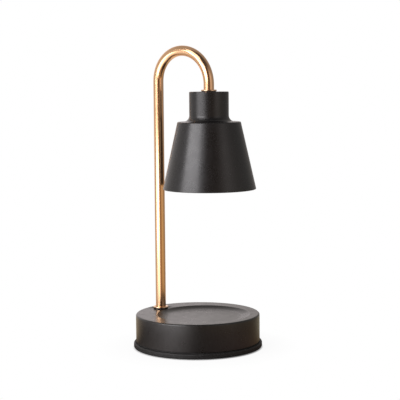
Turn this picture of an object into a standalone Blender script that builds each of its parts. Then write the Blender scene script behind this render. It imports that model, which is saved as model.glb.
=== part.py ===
"""Candle warmer lamp: a shade on a bent tube hangs over a tray that a jar candle stands in.

Metres, +Z up. The origin is on the floor at the centre of the base. The tube stands at -X, the
shade hangs toward +X, and the XZ plane is the lamp's plane of symmetry.
"""

import math

import bmesh
import bpy
from mathutils import Vector

# Fits shared by all pieces
GAP = 0.0003  # between pieces that touch or pass through each other
MERGE = 0.000001  # points this close are one
OVERRUN = 0.002  # how far a cutter runs past the wall that it cuts

# Tube: one bent pipe with a thread at each end
TUBE_RADIUS = 0.0050
TUBE_WALL = 0.0010
UPRIGHT = 0.2253  # from the base's top to the first bend
REAR_BEND = 0.0290
FRONT_BEND = 0.0324
DROP = 0.0069  # from the second bend to the shade's top

# Collars, washers and nuts on the tube
FERRULE_TOP_WALL = 0.0012
FERRULE_LIP = 0.0022
FERRULE_LIP_HEIGHT = 0.0012
FERRULE_HEIGHT = 0.0016
FERRULE_ROUND = 0.0004
FOOT_WASHER_WIDTH = 0.0018
FOOT_WASHER_THICKNESS = 0.0005
SHADE_WASHER_THICKNESS = 0.0004
CLAMP_WASHER_WIDTH = 0.0023
CLAMP_WASHER_THICKNESS = 0.0020
LOCK_WASHER_WIDTH = 0.0026
LOCK_WASHER_THICKNESS = 0.0007
NUT_WALL = 0.0017
FOOT_NUT_HEIGHT = 0.0040
SHADE_NUT_HEIGHT = 0.0030
NUT_CHAMFER = 0.0007
THREAD_PROUD = 0.0006  # how far the tube stands out of a nut

# Bushes in the tube's ends
BUSH_LENGTH = 0.0080
BUSH_FLANGE = 0.0012
BUSH_FLANGE_WALL = 0.0004

# Leads through the tube
LEAD_RADIUS = 0.0008
LEAD_ROOM = 0.0006

# Drum of the base
DRUM_RADIUS = 0.06025
DRUM_HEIGHT = 0.0263
DRUM_SHEET = 0.0010
DRUM_EDGE = 0.0016
WALL_MARGIN = 0.00515  # from the clamp washer to the drum's rounded edge

# Tray pressed into the drum's top, as wide as the room in front of the tube allows
TRAY_DEPTH = 0.0026
TRAY_SLOPE = 0.0105
TRAY_EDGE_SHARE = 0.2  # of the slope, for the round at its upper edge
TRAY_TO_FRONT = 0.0085

# Bottom plate, its pad and its bosses
PAD_PROUD = 0.0005
PAD_THICKNESS = 0.0020
PAD_INSET = 0.0145  # from the plate's rim to the pad
PLATE_LIP = 0.00225  # how far the foot ring stands out past the drum
PLATE_FLOOR = 0.0018
FLANGE_HEIGHT = 0.0049
FLANGE_EDGE = 0.0014
FLANGE_FOOT_EDGE = 0.0006
GROOVE_HEIGHT = 0.0010
GROOVE_DEPTH = 0.0006  # from the drum's face in to the ledge that it stands on
SPIGOT_FIT = 0.00035
SPIGOT_HEIGHT = 0.0040
SPIGOT_WALL = 0.0018
SPIGOT_EDGE = 0.0005
BALLAST_RIM_HEIGHT = 0.0030
BALLAST_RIM_WALL = 0.0015
BOSS_WALL = 0.0022
BOSS_HEIGHT = 0.0080

# Posts and screws that hold the plate
POST_COUNT = 3
POST_INSET = 0.00605
POST_WALL = 0.00095
POST_BORE_DEPTH = 0.0110
M3_RADIUS = 0.0015
M3_HEAD_RADIUS = 0.0025
M3_HEAD_HEIGHT = 0.0020
M3_HEAD_EDGE = 0.0008
HEAD_RECESS = 0.0004
PLATE_SCREW_REACH = 0.0080  # into the post

# Ballast, its pillars and its screws
BALLAST_THICKNESS = 0.0080
BALLAST_TO_POST = 0.0102
BALLAST_FIT = 0.0006
BALLAST_EDGE = 0.0008
PILLAR_COUNT = 3
PILLAR_SPACING_DEG = 115.0
PILLAR_INSET = 0.0120  # from the ballast's rim to the circle of its pillars
PILLAR_RADIUS = 0.0035
PILLAR_FIT = 0.0005
PILLAR_SHORT = 0.0009  # how far a pillar stays below the ballast's top
TAPPING_RADIUS = 0.0013
TAPPING_REACH = 0.0050
TAPPING_HEAD_RIM = 0.0014  # how far the head overlaps the ballast
TAPPING_HEAD_HEIGHT = 0.0016

# Terminal block
TERMINAL_FROM_POLE = 0.0094
TERMINAL_LENGTH = 0.0200
TERMINAL_EDGE = 0.0010
TERMINAL_STAND = 0.0040
TERMINAL_STAND_WALL = 0.0032
TERMINAL_UNDER = 0.0029  # plastic below the brass
TERMINAL_OVER = 0.0049  # plastic above the brass
TERMINAL_SIDE = 0.0011
INSERT_WALL = 0.0010
INSERT_ROOM = 0.0008
INSERT_INSET = 0.0025
CLAMP_SCREW_RADIUS = 0.0013
CLAMP_SCREW_SINK = 0.0020
CLAMP_SCREW_FROM_END = 0.0030  # along the brass
LEAD_IN_BRASS = 0.0050
FIXING_HEAD_RADIUS = 0.0022
FIXING_HEAD_HEIGHT = 0.0014
FIXING_REACH = 0.0030
NOTCH_ROOM = 0.0040

# Cord inlet
CORD_BORE_RADIUS = 0.0032
GROMMET_NECK_WALL = 0.0012
GROMMET_FLANGE_WALL = 0.0033
GROMMET_FLANGE = 0.0014
GROMMET_EDGE = 0.0005
GROMMET_SAG = 0.0003  # more room inside, where the wall curves toward the flange
GROMMET_ABOVE_SPIGOT = 0.0012

# Lampholder strap
STRAP_THICKNESS = 0.0012
STRAP_WIDTH = 0.0140
STRAP_HEIGHT = 0.0126
STRAP_FOOT = 0.0044
STRAP_BEND = 0.0008
STRAP_TO_NUT = 0.0009

# Lampholder
HOLDER_HEIGHT = 0.0140
HOLDER_HALF_WIDTH = 0.0085
HOLDER_END = 0.0011  # ceramic left past the screw heads
HOLDER_LIP = 0.0022
HOLDER_EDGE = 0.0006
CAVITY_HEIGHT = 0.0050
CONTACT_THICKNESS = 0.0005
CONTACT_TO_PIN = 0.0004
CONTACT_POST_RADIUS = 0.0009
LEAD_HOLE_SPACING = 0.0070

# Bulb
PIN_SPACING = 0.0100
PIN_RADIUS = 0.0015
PIN_HEAD_RADIUS = 0.0024
PIN_HEAD_HEIGHT = 0.0022
PIN_HEAD_EDGE = 0.0004
PIN_ROOT = 0.0028
TWIST_DEG = 30.0
BASE_HALF_LENGTH = 0.0115
BASE_HALF_WIDTH = 0.0070
BASE_HEIGHT = 0.0170
BASE_EDGE = 0.0008
BULB_RADIUS = 0.0250
BULB_DEPTH = 0.0347
BULB_RIM = 0.0040
BULB_WALL = 0.0016
BULB_SHOULDER = 0.0125
FACE_INSET = 0.0006
FACE_THICKNESS = 0.0015
CAPSULE_RADIUS = 0.0050
CAPSULE_LENGTH = 0.0170
CAPSULE_ROOT = 0.0040
CAPSULE_ROUND = 0.0024
CAPSULE_ROOM = 0.0004

# Shade, spun round the lampholder
NECK_ROOM = 0.00165
SHADE_SHEET = 0.0010
NECK_HEIGHT = 0.0282
NECK_EDGE = 0.0009
NECK_FILLET = 0.0074
LEDGE_WIDTH = 0.01135
LEDGE_FALL = 0.0004
LEDGE_EDGE = 0.0012
CONE_SPREAD = 0.0144
SHADE_HEIGHT = 0.0929

# Faceting
LARGE_SIDES = 36
BULB_SIDES = 24
SMALL_SIDES = 16
SCREW_SIDES = 8
TUBE_ROUND_STEPS = 6
LEAD_ROUND_STEPS = 1
BEND_STEPS = 8
ARC_STEP_DEG = 45.0
SPUN_STEP_DEG = 22.5
EDGE_STEPS = 2
TRAY_STEPS = 4
BOWL_STEPS = 4
STADIUM_STEPS = 6
SLOT_STEPS = 5
LEAD_STEPS = 6
SHARP_DEG = 35.0
HALF_EDGE_SHARE = 0.49  # the most of an edge that one rounded corner may take
ROOT_SHARE = 0.3  # how deep in the floor a boss is rooted and a blind hole ends

# Radii that follow the tube
HOLE_RADIUS = TUBE_RADIUS + GAP
CLAMP_RADIUS = HOLE_RADIUS + CLAMP_WASHER_WIDTH
LOCK_RADIUS = HOLE_RADIUS + LOCK_WASHER_WIDTH
NUT_FLAT_RADIUS = HOLE_RADIUS + NUT_WALL
NUT_CORNER_RADIUS = NUT_FLAT_RADIUS / math.cos(math.pi / 6)
LEAD_OFFSET = LEAD_RADIUS + GAP
BUSH_BORE = LEAD_OFFSET + LEAD_RADIUS + LEAD_ROOM
M3_HOLE = M3_RADIUS + GAP

# Heights of the base, from the floor
PLATE_BOTTOM = PAD_PROUD
POCKET_TOP = PAD_THICKNESS + GAP
FLOOR_TOP = POCKET_TOP + PLATE_FLOOR
FLANGE_TOP = PLATE_BOTTOM + FLANGE_HEIGHT
DRUM_BOTTOM = FLANGE_TOP + GROOVE_HEIGHT
LEDGE_TOP = DRUM_BOTTOM - GAP
SPIGOT_TOP = LEDGE_TOP + SPIGOT_HEIGHT
BOSS_TOP = FLOOR_TOP + BOSS_HEIGHT
BASE_TOP = DRUM_BOTTOM + DRUM_HEIGHT
SHEET_UNDER = BASE_TOP - DRUM_SHEET
BALLAST_BOTTOM = FLOOR_TOP + GAP
BALLAST_TOP = BALLAST_BOTTOM + BALLAST_THICKNESS
PILLAR_TOP = BALLAST_TOP - PILLAR_SHORT

# Places across the base
PLATE_RADIUS = DRUM_RADIUS + PLATE_LIP
PAD_RADIUS = PLATE_RADIUS - PAD_INSET
SPIGOT_RADIUS = DRUM_RADIUS - DRUM_SHEET - SPIGOT_FIT
POLE_X = CLAMP_RADIUS + WALL_MARGIN + DRUM_EDGE - DRUM_RADIUS
TRAY_REAR = POLE_X + CLAMP_RADIUS
TRAY_FRONT = DRUM_RADIUS - TRAY_TO_FRONT
TRAY_RADIUS = (TRAY_FRONT - TRAY_REAR) / 2
TRAY_X = (TRAY_FRONT + TRAY_REAR) / 2
POST_CIRCLE = DRUM_RADIUS - POST_INSET
BOSS_RADIUS = M3_HOLE + BOSS_WALL
BALLAST_RADIUS = POST_CIRCLE - BALLAST_TO_POST
BALLAST_RIM = BALLAST_RADIUS + BALLAST_FIT
PILLAR_CIRCLE = BALLAST_RADIUS - PILLAR_INSET
PILLAR_HOLE = PILLAR_RADIUS + PILLAR_FIT
TAPPING_HOLE = TAPPING_RADIUS + GAP
GROMMET_NECK = CORD_BORE_RADIUS + GROMMET_NECK_WALL
GROMMET_RADIUS = CORD_BORE_RADIUS + GROMMET_FLANGE_WALL
CORD_Z = SPIGOT_TOP + GROMMET_RADIUS + GROMMET_ABOVE_SPIGOT

# Terminal block, from the brass outward
INSERT_BORE = LEAD_RADIUS + INSERT_ROOM
INSERT_RADIUS = INSERT_BORE + INSERT_WALL
INSERT_HOLE = INSERT_RADIUS + GAP
POLE_SPACING = 2 * (FIXING_HEAD_RADIUS + INSERT_HOLE - GAP)
TERMINAL_HALF_WIDTH = POLE_SPACING / 2 + INSERT_HOLE + TERMINAL_SIDE
TERMINAL_STAND_TOP = FLOOR_TOP + TERMINAL_STAND
TERMINAL_BOTTOM = TERMINAL_STAND_TOP + GAP
INSERT_Z = TERMINAL_BOTTOM + TERMINAL_UNDER + INSERT_HOLE
TERMINAL_TOP = INSERT_Z + INSERT_HOLE + TERMINAL_OVER
TERMINAL_REAR = POLE_X + TERMINAL_FROM_POLE
TERMINAL_FRONT = TERMINAL_REAR + TERMINAL_LENGTH
TERMINAL_X = (TERMINAL_REAR + TERMINAL_FRONT) / 2
TERMINAL_STAND_RADIUS = TAPPING_HOLE + TERMINAL_STAND_WALL
FIXING_SEAT = TERMINAL_TOP - 2 * FIXING_HEAD_HEIGHT
INSERT_REAR = TERMINAL_REAR + INSERT_INSET
INSERT_FRONT = TERMINAL_FRONT - INSERT_INSET
NOTCH_HALF_WIDTH = TERMINAL_HALF_WIDTH + NOTCH_ROOM

# The tube's route
BEND_START = BASE_TOP + UPRIGHT
ARCH_X = POLE_X + REAR_BEND
ARCH_Z = BEND_START + REAR_BEND
SHADE_X = ARCH_X + FRONT_BEND
SHADE_TOP = ARCH_Z - FRONT_BEND - DROP

# Stack under the drum's top, downward from its outer face
CLAMP_TOP = -DRUM_SHEET - GAP
FOOT_LOCK_TOP = CLAMP_TOP - CLAMP_WASHER_THICKNESS - GAP
FOOT_NUT_TOP = FOOT_LOCK_TOP - LOCK_WASHER_THICKNESS - GAP
TUBE_FOOT = FOOT_NUT_TOP - FOOT_NUT_HEIGHT - THREAD_PROUD

# Stack inside the shade, downward from its outer top face
STRAP_TOP = -SHADE_SHEET - GAP
SHADE_LOCK_TOP = STRAP_TOP - STRAP_THICKNESS - GAP
SHADE_NUT_TOP = SHADE_LOCK_TOP - LOCK_WASHER_THICKNESS - GAP
TUBE_TIP = SHADE_NUT_TOP - SHADE_NUT_HEIGHT - THREAD_PROUD
STRAP_BOTTOM = STRAP_TOP - STRAP_HEIGHT
HOLDER_TOP = STRAP_BOTTOM - GAP
HOLDER_FACE = HOLDER_TOP - HOLDER_HEIGHT

# Widths that follow from the nut inside the strap
STRAP_INSIDE = NUT_CORNER_RADIUS + STRAP_TO_NUT
STRAP_OUTSIDE = STRAP_INSIDE + STRAP_THICKNESS
STRAP_END = STRAP_OUTSIDE + STRAP_FOOT
HOLDER_SCREW_Y = STRAP_OUTSIDE + STRAP_FOOT / 2
COUNTERBORE = M3_HEAD_RADIUS + GAP
HOLDER_HALF_LENGTH = HOLDER_SCREW_Y + COUNTERBORE + HOLDER_END
NECK_RADIUS = HOLDER_HALF_LENGTH + NECK_ROOM + SHADE_SHEET
SHOULDER_RADIUS = NECK_RADIUS + LEDGE_WIDTH
RIM_RADIUS = SHOULDER_RADIUS + CONE_SPREAD

# Heights of the bulb, from the lampholder's face; the bulb hangs below it
BASE_TOP_Z = -GAP
BASE_BOTTOM_Z = BASE_TOP_Z - BASE_HEIGHT
BULB_TOP_Z = BASE_BOTTOM_Z - GAP
BULB_FACE_Z = BULB_TOP_Z - BULB_DEPTH
PIN_HEAD_Z = HOLDER_LIP + GAP
CONTACT_Z = PIN_HEAD_Z + PIN_HEAD_HEIGHT + CONTACT_TO_PIN
CAVITY_TOP = HOLDER_LIP + CAVITY_HEIGHT
SLOT_HALF_WIDTH = PIN_RADIUS + GAP
CAVITY_HALF_WIDTH = PIN_HEAD_RADIUS + GAP
LAMP_PINS_DEG = (90.0, 270.0)  # both pins lie across the lamp's plane of symmetry


def clear_scene():
    for found in list(bpy.data.objects):
        bpy.data.objects.remove(found)


def paint(name, colour, roughness, metallic=0.0, alpha=1.0):
    material = bpy.data.materials.new(name)
    material.use_nodes = True
    shader = material.node_tree.nodes["Principled BSDF"]
    shader.inputs["Base Color"].default_value = (*colour, 1.0)
    shader.inputs["Roughness"].default_value = roughness
    shader.inputs["Metallic"].default_value = metallic
    shader.inputs["Alpha"].default_value = alpha
    return material


def axis_at(name, place):
    """An empty that the pieces round one axis are parented to."""
    axis = bpy.data.objects.new(name, None)
    axis.location = place
    bpy.context.collection.objects.link(axis)
    return axis


def placed(name, shape, axis):
    """The bmesh as an object under its axis, with its faces pointing out."""
    bmesh.ops.remove_doubles(shape, verts=shape.verts, dist=MERGE)
    bmesh.ops.recalc_face_normals(shape, faces=shape.faces)
    mesh = bpy.data.meshes.new(name)
    shape.to_mesh(mesh)
    shape.free()
    mesh.shade_smooth()
    mesh.set_sharp_from_angle(angle=math.radians(SHARP_DEG))
    made = bpy.data.objects.new(name, mesh)
    bpy.context.collection.objects.link(made)
    made.parent = axis
    return made


def piece(name, shape, axis, material):
    made = placed(name, shape, axis)
    made.data.materials.append(material)
    return made


def combine(target, shape, operation):
    """Cuts the shape from the target, or joins it to the target."""
    tool = placed(f"{target.name}_tool_{len(target.modifiers)}", shape, target)
    tool.hide_render = True
    tool.display_type = "WIRE"
    boolean = target.modifiers.new(operation.lower(), "BOOLEAN")
    boolean.operation = operation
    boolean.solver = "EXACT"
    boolean.object = tool


def cut(target, shape):
    combine(target, shape, "DIFFERENCE")


def join(target, shape):
    combine(target, shape, "UNION")


def repeat(first, places, turns_deg=None):
    """Numbered copies of a piece and its cutters, each at its place or turned about its axis."""
    name = first.name
    for index, (across, along) in enumerate(places):
        made = first
        if index > 0:
            made = first.copy()
            bpy.context.collection.objects.link(made)
            for boolean in made.modifiers:
                boolean.object = boolean.object.copy()
                boolean.object.parent = made
                bpy.context.collection.objects.link(boolean.object)
        made.name = f"{name}_{index + 1}"
        made.location = (across, along, 0)
        made.rotation_euler.z = math.radians(turns_deg[index] if turns_deg else 0)


def skin_to_sheet(target, thickness):
    """Gives a pressed or spun skin its thickness, inward."""
    solid = target.modifiers.new("sheet", "SOLIDIFY")
    solid.thickness = thickness
    solid.offset = -1
    solid.use_even_offset = True


def corner_arc(before, corner, after, radius, step_deg):
    """Points of the round that replaces a corner, kept short of the middle of either edge."""
    toward = before - corner
    away = after - corner
    half = toward.angle(away) / 2
    longest = HALF_EDGE_SHARE * min(toward.length, away.length)
    reach = min(radius / math.tan(half), longest)
    centre = corner + (toward.normalized() + away.normalized()).normalized() * reach / math.cos(half)
    start = corner + toward.normalized() * reach - centre
    end = corner + away.normalized() * reach - centre
    sweep = math.atan2(start.x * end.y - start.y * end.x, start.dot(end))
    steps = max(1, round(abs(math.degrees(sweep)) / step_deg))
    points = []
    for step in range(steps + 1):
        turn = sweep * step / steps
        across = start.x * math.cos(turn) - start.y * math.sin(turn)
        up = start.x * math.sin(turn) + start.y * math.cos(turn)
        points.append(centre + Vector((across, up)))
    return points


def rounded(corners, closed=True, step_deg=ARC_STEP_DEG):
    """An outline from corners of (across, up, round radius)."""
    points = []
    places = [Vector(corner[:2]) for corner in corners]
    for index, (_, _, radius) in enumerate(corners):
        is_end = not closed and index in (0, len(corners) - 1)
        if is_end or radius == 0:
            points.append(places[index])
            continue
        after = places[(index + 1) % len(places)]
        points.extend(corner_arc(places[index - 1], places[index], after, radius, step_deg))
    return points


def turn_outline(shape, outline, sides, centre=(0, 0), closed=True):
    """Turns an outline of (radius, height) about a vertical axis."""
    across, along = centre
    rim = [shape.verts.new((across + radius, along, height)) for radius, height in outline]
    edges = [shape.edges.new(pair) for pair in zip(rim, rim[1:])]
    if closed:
        edges.append(shape.edges.new((rim[-1], rim[0])))
    bmesh.ops.spin(
        shape,
        geom=rim + edges,
        cent=(across, along, 0),
        axis=(0, 0, 1),
        angle=2 * math.pi,
        steps=sides,
        use_merge=True,
    )


def extrude_outline(shape, outline, bottom, top):
    """Raises an outline of (x, y) from the bottom height to the top one."""
    rim = [shape.verts.new((across, along, bottom)) for across, along in outline]
    face = shape.faces.new(rim)
    raised = bmesh.ops.extrude_face_region(shape, geom=[face])["geom"]
    points = [part for part in raised if isinstance(part, bmesh.types.BMVert)]
    bmesh.ops.translate(shape, verts=points, vec=(0, 0, top - bottom))


def turned(outline, sides=SMALL_SIDES, centre=(0, 0), closed=True):
    shape = bmesh.new()
    turn_outline(shape, outline, sides, centre, closed)
    return shape


def ring(inner, outer, bottom, top, sides=SMALL_SIDES):
    return turned([(inner, bottom), (inner, top), (outer, top), (outer, bottom)], sides)


def rods(places, radius, bottom, top, sides=SCREW_SIDES, shape=None):
    """Upright round bars of one size at several places, in a new shape or added to one."""
    shape = shape or bmesh.new()
    outline = [(0, top), (radius, top), (radius, bottom), (0, bottom)]
    for place in places:
        turn_outline(shape, outline, sides, place, closed=False)
    return shape


def stepped_bores(places, mouth_radius, mouth, seat, radius, end, sides=SCREW_SIDES):
    """Cutters for a wide mouth and a narrower hole behind its seat."""
    shape = bmesh.new()
    outline = [(0, end), (radius, end), (radius, seat), (mouth_radius, seat)]
    outline += [(mouth_radius, mouth), (0, mouth)]
    for place in places:
        turn_outline(shape, outline, sides, place, closed=False)
    return shape


def hexagon(flat_radius):
    corner = flat_radius / math.cos(math.pi / 6)
    return [
        (corner * math.cos(math.radians(60 * side)), corner * math.sin(math.radians(60 * side)))
        for side in range(6)
    ]


def stadium(half_length, half_width):
    """A long outline with round ends, its length along Y."""
    points = []
    for end in (1, -1):
        for step in range(STADIUM_STEPS + 1):
            turn = math.pi * step / STADIUM_STEPS
            across = end * half_width * math.cos(turn)
            along = end * (half_length - half_width + half_width * math.sin(turn))
            points.append((across, along))
    return points


def kidney(pitch, half_width, from_deg, to_deg):
    """A round-ended slot that follows a circle of the pitch radius."""
    start = math.radians(from_deg)
    end = math.radians(to_deg)
    points = []
    for centre_turn, first in ((end, end), (start, start + math.pi)):
        centre = (pitch * math.cos(centre_turn), pitch * math.sin(centre_turn))
        for step in range(SLOT_STEPS + 1):
            turn = first + math.pi * step / SLOT_STEPS
            across = centre[0] + half_width * math.cos(turn)
            along = centre[1] + half_width * math.sin(turn)
            points.append((across, along))
        if centre_turn == end:
            inner = pitch - half_width
            middle = (start + end) / 2
            points.append((inner * math.cos(middle), inner * math.sin(middle)))
    outer = pitch + half_width
    points.append((outer * math.cos(middle), outer * math.sin(middle)))
    return points


def circle_places(count, radius, spacing_deg):
    """Places on a circle, the first at +X and the others spread evenly to both sides of it."""
    turns = [math.radians(spacing_deg * (index - (count - 1) / 2)) for index in range(count)]
    return [(radius * math.cos(turn), radius * math.sin(turn)) for turn in turns]


def post_places():
    return circle_places(POST_COUNT, POST_CIRCLE, 360.0 / POST_COUNT)


def pillar_places():
    return circle_places(PILLAR_COUNT, PILLAR_CIRCLE, PILLAR_SPACING_DEG)


def pole_sides():
    """The two sides of the symmetry plane: one pole of the wiring lies on each."""
    return (1, -1)


def tray_fall(share):
    """The share of the tray's depth reached along its slope: a short round, then a long sweep."""
    if share < TRAY_EDGE_SHARE:
        return share * share / TRAY_EDGE_SHARE
    return 1 - (1 - share) ** 2 / (1 - TRAY_EDGE_SHARE)


def make_drum(base, steel):
    """The drum's skin: wall, rounded edge, then the tray pressed in off centre.

    A flat facet, and not the edge between two, faces the cord's inlet.
    """
    turns = [math.pi * (2 * side + 1) / LARGE_SIDES for side in range(LARGE_SIDES)]
    rings = [(0, DRUM_RADIUS, DRUM_BOTTOM)]
    for step in range(EDGE_STEPS + 1):
        turn = math.radians(90) * step / EDGE_STEPS
        radius = DRUM_RADIUS - DRUM_EDGE + DRUM_EDGE * math.cos(turn)
        rings.append((0, radius, BASE_TOP - DRUM_EDGE + DRUM_EDGE * math.sin(turn)))
    for step in range(TRAY_STEPS + 1):
        share = step / TRAY_STEPS
        sunk = TRAY_DEPTH * tray_fall(share)
        rings.append((TRAY_X, TRAY_RADIUS - TRAY_SLOPE * share, BASE_TOP - sunk))
    shape = bmesh.new()
    loops = []
    for centre, radius, height in rings:
        loops.append(
            [
                shape.verts.new((centre + radius * math.cos(turn), radius * math.sin(turn), height))
                for turn in turns
            ]
        )
    for lower, upper in zip(loops, loops[1:]):
        for side in range(LARGE_SIDES):
            after = (side + 1) % LARGE_SIDES
            shape.faces.new((lower[side], lower[after], upper[after], upper[side]))
    shape.faces.new(loops[-1])
    drum = piece("base_shell", shape, base, steel)
    skin_to_sheet(drum, DRUM_SHEET)
    hole_bottom = SHEET_UNDER - OVERRUN
    cut(drum, rods([(POLE_X, 0)], HOLE_RADIUS, hole_bottom, BASE_TOP + OVERRUN, SMALL_SIDES))
    inlet = rods([(0, 0)], GROMMET_NECK + GAP, -OVERRUN, DRUM_SHEET + OVERRUN, SMALL_SIDES)
    lay_along_cord(inlet)
    cut(drum, inlet)


def lay_along_cord(shape):
    """Turns an upright shape to the cord's axis, its foot on the drum's outer face, its top inward."""
    for point in shape.verts:
        x, y, z = point.co
        point.co = (z - DRUM_RADIUS, y, CORD_Z + x)


def make_bottom_plate(base, plastic):
    corners = [
        (0, FLOOR_TOP, 0),
        (BALLAST_RIM, FLOOR_TOP, 0),
        (BALLAST_RIM, FLOOR_TOP + BALLAST_RIM_HEIGHT, 0),
        (BALLAST_RIM + BALLAST_RIM_WALL, FLOOR_TOP + BALLAST_RIM_HEIGHT, 0),
        (BALLAST_RIM + BALLAST_RIM_WALL, FLOOR_TOP, 0),
        (SPIGOT_RADIUS - SPIGOT_WALL, FLOOR_TOP, 0),
        (SPIGOT_RADIUS - SPIGOT_WALL, SPIGOT_TOP, 0),
        (SPIGOT_RADIUS, SPIGOT_TOP, SPIGOT_EDGE),
        (SPIGOT_RADIUS, LEDGE_TOP, 0),
        (DRUM_RADIUS - GROOVE_DEPTH, LEDGE_TOP, 0),
        (DRUM_RADIUS - GROOVE_DEPTH, FLANGE_TOP, 0),
        (PLATE_RADIUS, FLANGE_TOP, FLANGE_EDGE),
        (PLATE_RADIUS, PLATE_BOTTOM, FLANGE_FOOT_EDGE),
        (PAD_RADIUS + GAP, PLATE_BOTTOM, 0),
        (PAD_RADIUS + GAP, POCKET_TOP, 0),
        (0, POCKET_TOP, 0),
    ]
    shape = turned(rounded(corners, closed=False), LARGE_SIDES, closed=False)
    plate = piece("bottom_plate", shape, base, plastic)
    sunk = FLOOR_TOP - PLATE_FLOOR * ROOT_SHARE
    stand = [(TERMINAL_X, 0)]
    bosses = rods(post_places(), BOSS_RADIUS, sunk, BOSS_TOP, SMALL_SIDES)
    rods(pillar_places(), PILLAR_RADIUS, sunk, PILLAR_TOP, shape=bosses)
    rods(stand, TERMINAL_STAND_RADIUS, sunk, TERMINAL_STAND_TOP, shape=bosses)
    join(plate, bosses)
    below = PLATE_BOTTOM - OVERRUN
    seat = PLATE_BOTTOM + HEAD_RECESS + M3_HEAD_HEIGHT + GAP
    bores = stepped_bores(post_places(), COUNTERBORE, below, seat, M3_HOLE, BOSS_TOP + OVERRUN)
    rods(pillar_places(), TAPPING_HOLE, FLOOR_TOP, PILLAR_TOP + OVERRUN, shape=bores)
    rods(stand, TAPPING_HOLE, FLOOR_TOP, TERMINAL_STAND_TOP + OVERRUN, shape=bores)
    cut(plate, bores)


def make_foot_pad(base, foam):
    top = PAD_THICKNESS
    piece("foot_pad", rods([(0, 0)], PAD_RADIUS, 0, top, LARGE_SIDES), base, foam)


def make_posts(base, steel):
    """Hexagonal posts under the drum's top, each with a blind thread from below."""
    bottom = BOSS_TOP + GAP
    top = SHEET_UNDER - GAP
    shape = bmesh.new()
    extrude_outline(shape, hexagon(M3_HOLE + POST_WALL), bottom, top)
    post = piece("base_post", shape, base, steel)
    cut(post, rods([(0, 0)], M3_HOLE, bottom - OVERRUN, bottom + POST_BORE_DEPTH))
    repeat(post, post_places())


def screw_outline(head_radius, head_height, edge, radius, length):
    """A pan-head screw that points up, with its head's underside at the height zero."""
    corners = [
        (0, length, 0),
        (radius, length, 0),
        (radius, 0, 0),
        (head_radius, 0, 0),
        (head_radius, -head_height, edge),
        (0, -head_height, 0),
    ]
    return rounded(corners, closed=False)


def make_screws(name, places, seat, outline, axis, steel, points_down=False):
    """One screw at each place, its head's underside at the seat."""
    facing = -1 if points_down else 1
    moved = [(radius, seat + facing * height) for radius, height in outline]
    screw = piece(name, turned(moved, SCREW_SIDES, closed=False), axis, steel)
    repeat(screw, places)


def make_plate_screws(base, steel):
    seat = PLATE_BOTTOM + HEAD_RECESS + M3_HEAD_HEIGHT
    length = BOSS_TOP + PLATE_SCREW_REACH - seat
    outline = screw_outline(M3_HEAD_RADIUS, M3_HEAD_HEIGHT, M3_HEAD_EDGE, M3_RADIUS, length)
    make_screws("bottom_screw", post_places(), seat, outline, base, steel)


def make_ballast(base, iron):
    """A cast horseshoe: a disc with a slot at the back for the terminal block and the tube's nut."""
    corners = [
        (0, BALLAST_TOP, 0),
        (BALLAST_RADIUS, BALLAST_TOP, BALLAST_EDGE),
        (BALLAST_RADIUS, BALLAST_BOTTOM, 0),
        (0, BALLAST_BOTTOM, 0),
    ]
    shape = turned(rounded(corners, closed=False), LARGE_SIDES, closed=False)
    ballast = piece("ballast_weight", shape, base, iron)
    notch_end = TERMINAL_FRONT + NOTCH_ROOM
    half_length = (notch_end + BALLAST_RADIUS + OVERRUN) / 2
    middle = notch_end - half_length
    notch = bmesh.new()
    outline = [(middle + y, x) for x, y in stadium(half_length, NOTCH_HALF_WIDTH)]
    rear = [point for point in outline if point[0] > middle]
    rear = [(-BALLAST_RADIUS - OVERRUN, -NOTCH_HALF_WIDTH)] + sorted(rear, key=lambda p: p[1])
    rear.append((-BALLAST_RADIUS - OVERRUN, NOTCH_HALF_WIDTH))
    extrude_outline(notch, rear, BALLAST_BOTTOM - OVERRUN, BALLAST_TOP + OVERRUN)
    cut(ballast, notch)
    bottom = BALLAST_BOTTOM - OVERRUN
    cut(ballast, rods(pillar_places(), PILLAR_HOLE, bottom, BALLAST_TOP + OVERRUN))


def make_ballast_screws(base, steel):
    seat = BALLAST_TOP + GAP
    head = PILLAR_HOLE + TAPPING_HEAD_RIM
    length = seat - PILLAR_TOP + TAPPING_REACH
    outline = screw_outline(head, TAPPING_HEAD_HEIGHT, M3_HEAD_EDGE, TAPPING_RADIUS, length)
    make_screws("ballast_screw", pillar_places(), seat, outline, base, steel, points_down=True)


def make_grommet(base, rubber):
    """A rubber bush in the drum's back wall: a flange on each side of it and a round bore."""
    face = GAP
    inside = DRUM_SHEET + GAP + GROMMET_SAG
    corners = [
        (CORD_BORE_RADIUS, -face - GROMMET_FLANGE, GROMMET_EDGE),
        (GROMMET_RADIUS, -face - GROMMET_FLANGE, GROMMET_EDGE),
        (GROMMET_RADIUS, -face, 0),
        (GROMMET_NECK, -face, 0),
        (GROMMET_NECK, inside, 0),
        (GROMMET_RADIUS, inside, 0),
        (GROMMET_RADIUS, inside + GROMMET_FLANGE, 0),
        (CORD_BORE_RADIUS, inside + GROMMET_FLANGE, 0),
    ]
    shape = turned(rounded(corners), SMALL_SIDES)
    lay_along_cord(shape)
    piece("cord_grommet", shape, base, rubber)


def wiring_places(x):
    return [(x, side * POLE_SPACING / 2) for side in pole_sides()]


def clamp_screw_rows():
    """Where the clamping screws stand along the brass."""
    return (INSERT_REAR + CLAMP_SCREW_FROM_END, INSERT_FRONT - CLAMP_SCREW_FROM_END)


def clamp_screw_places():
    return [place for row in clamp_screw_rows() for place in wiring_places(row)]


def bar_along_x(from_x, to_x, radius, bore=0.0, sideways=0.0):
    """A bar or a tube that lies along X, level with the brass."""
    outline = [(bore, from_x), (radius, from_x), (radius, to_x), (bore, to_x)]
    shape = turned(outline, SCREW_SIDES, closed=bore > 0)
    for point in shape.verts:
        x, y, z = point.co
        point.co = (z, y + sideways, INSERT_Z + x)
    return shape


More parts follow.
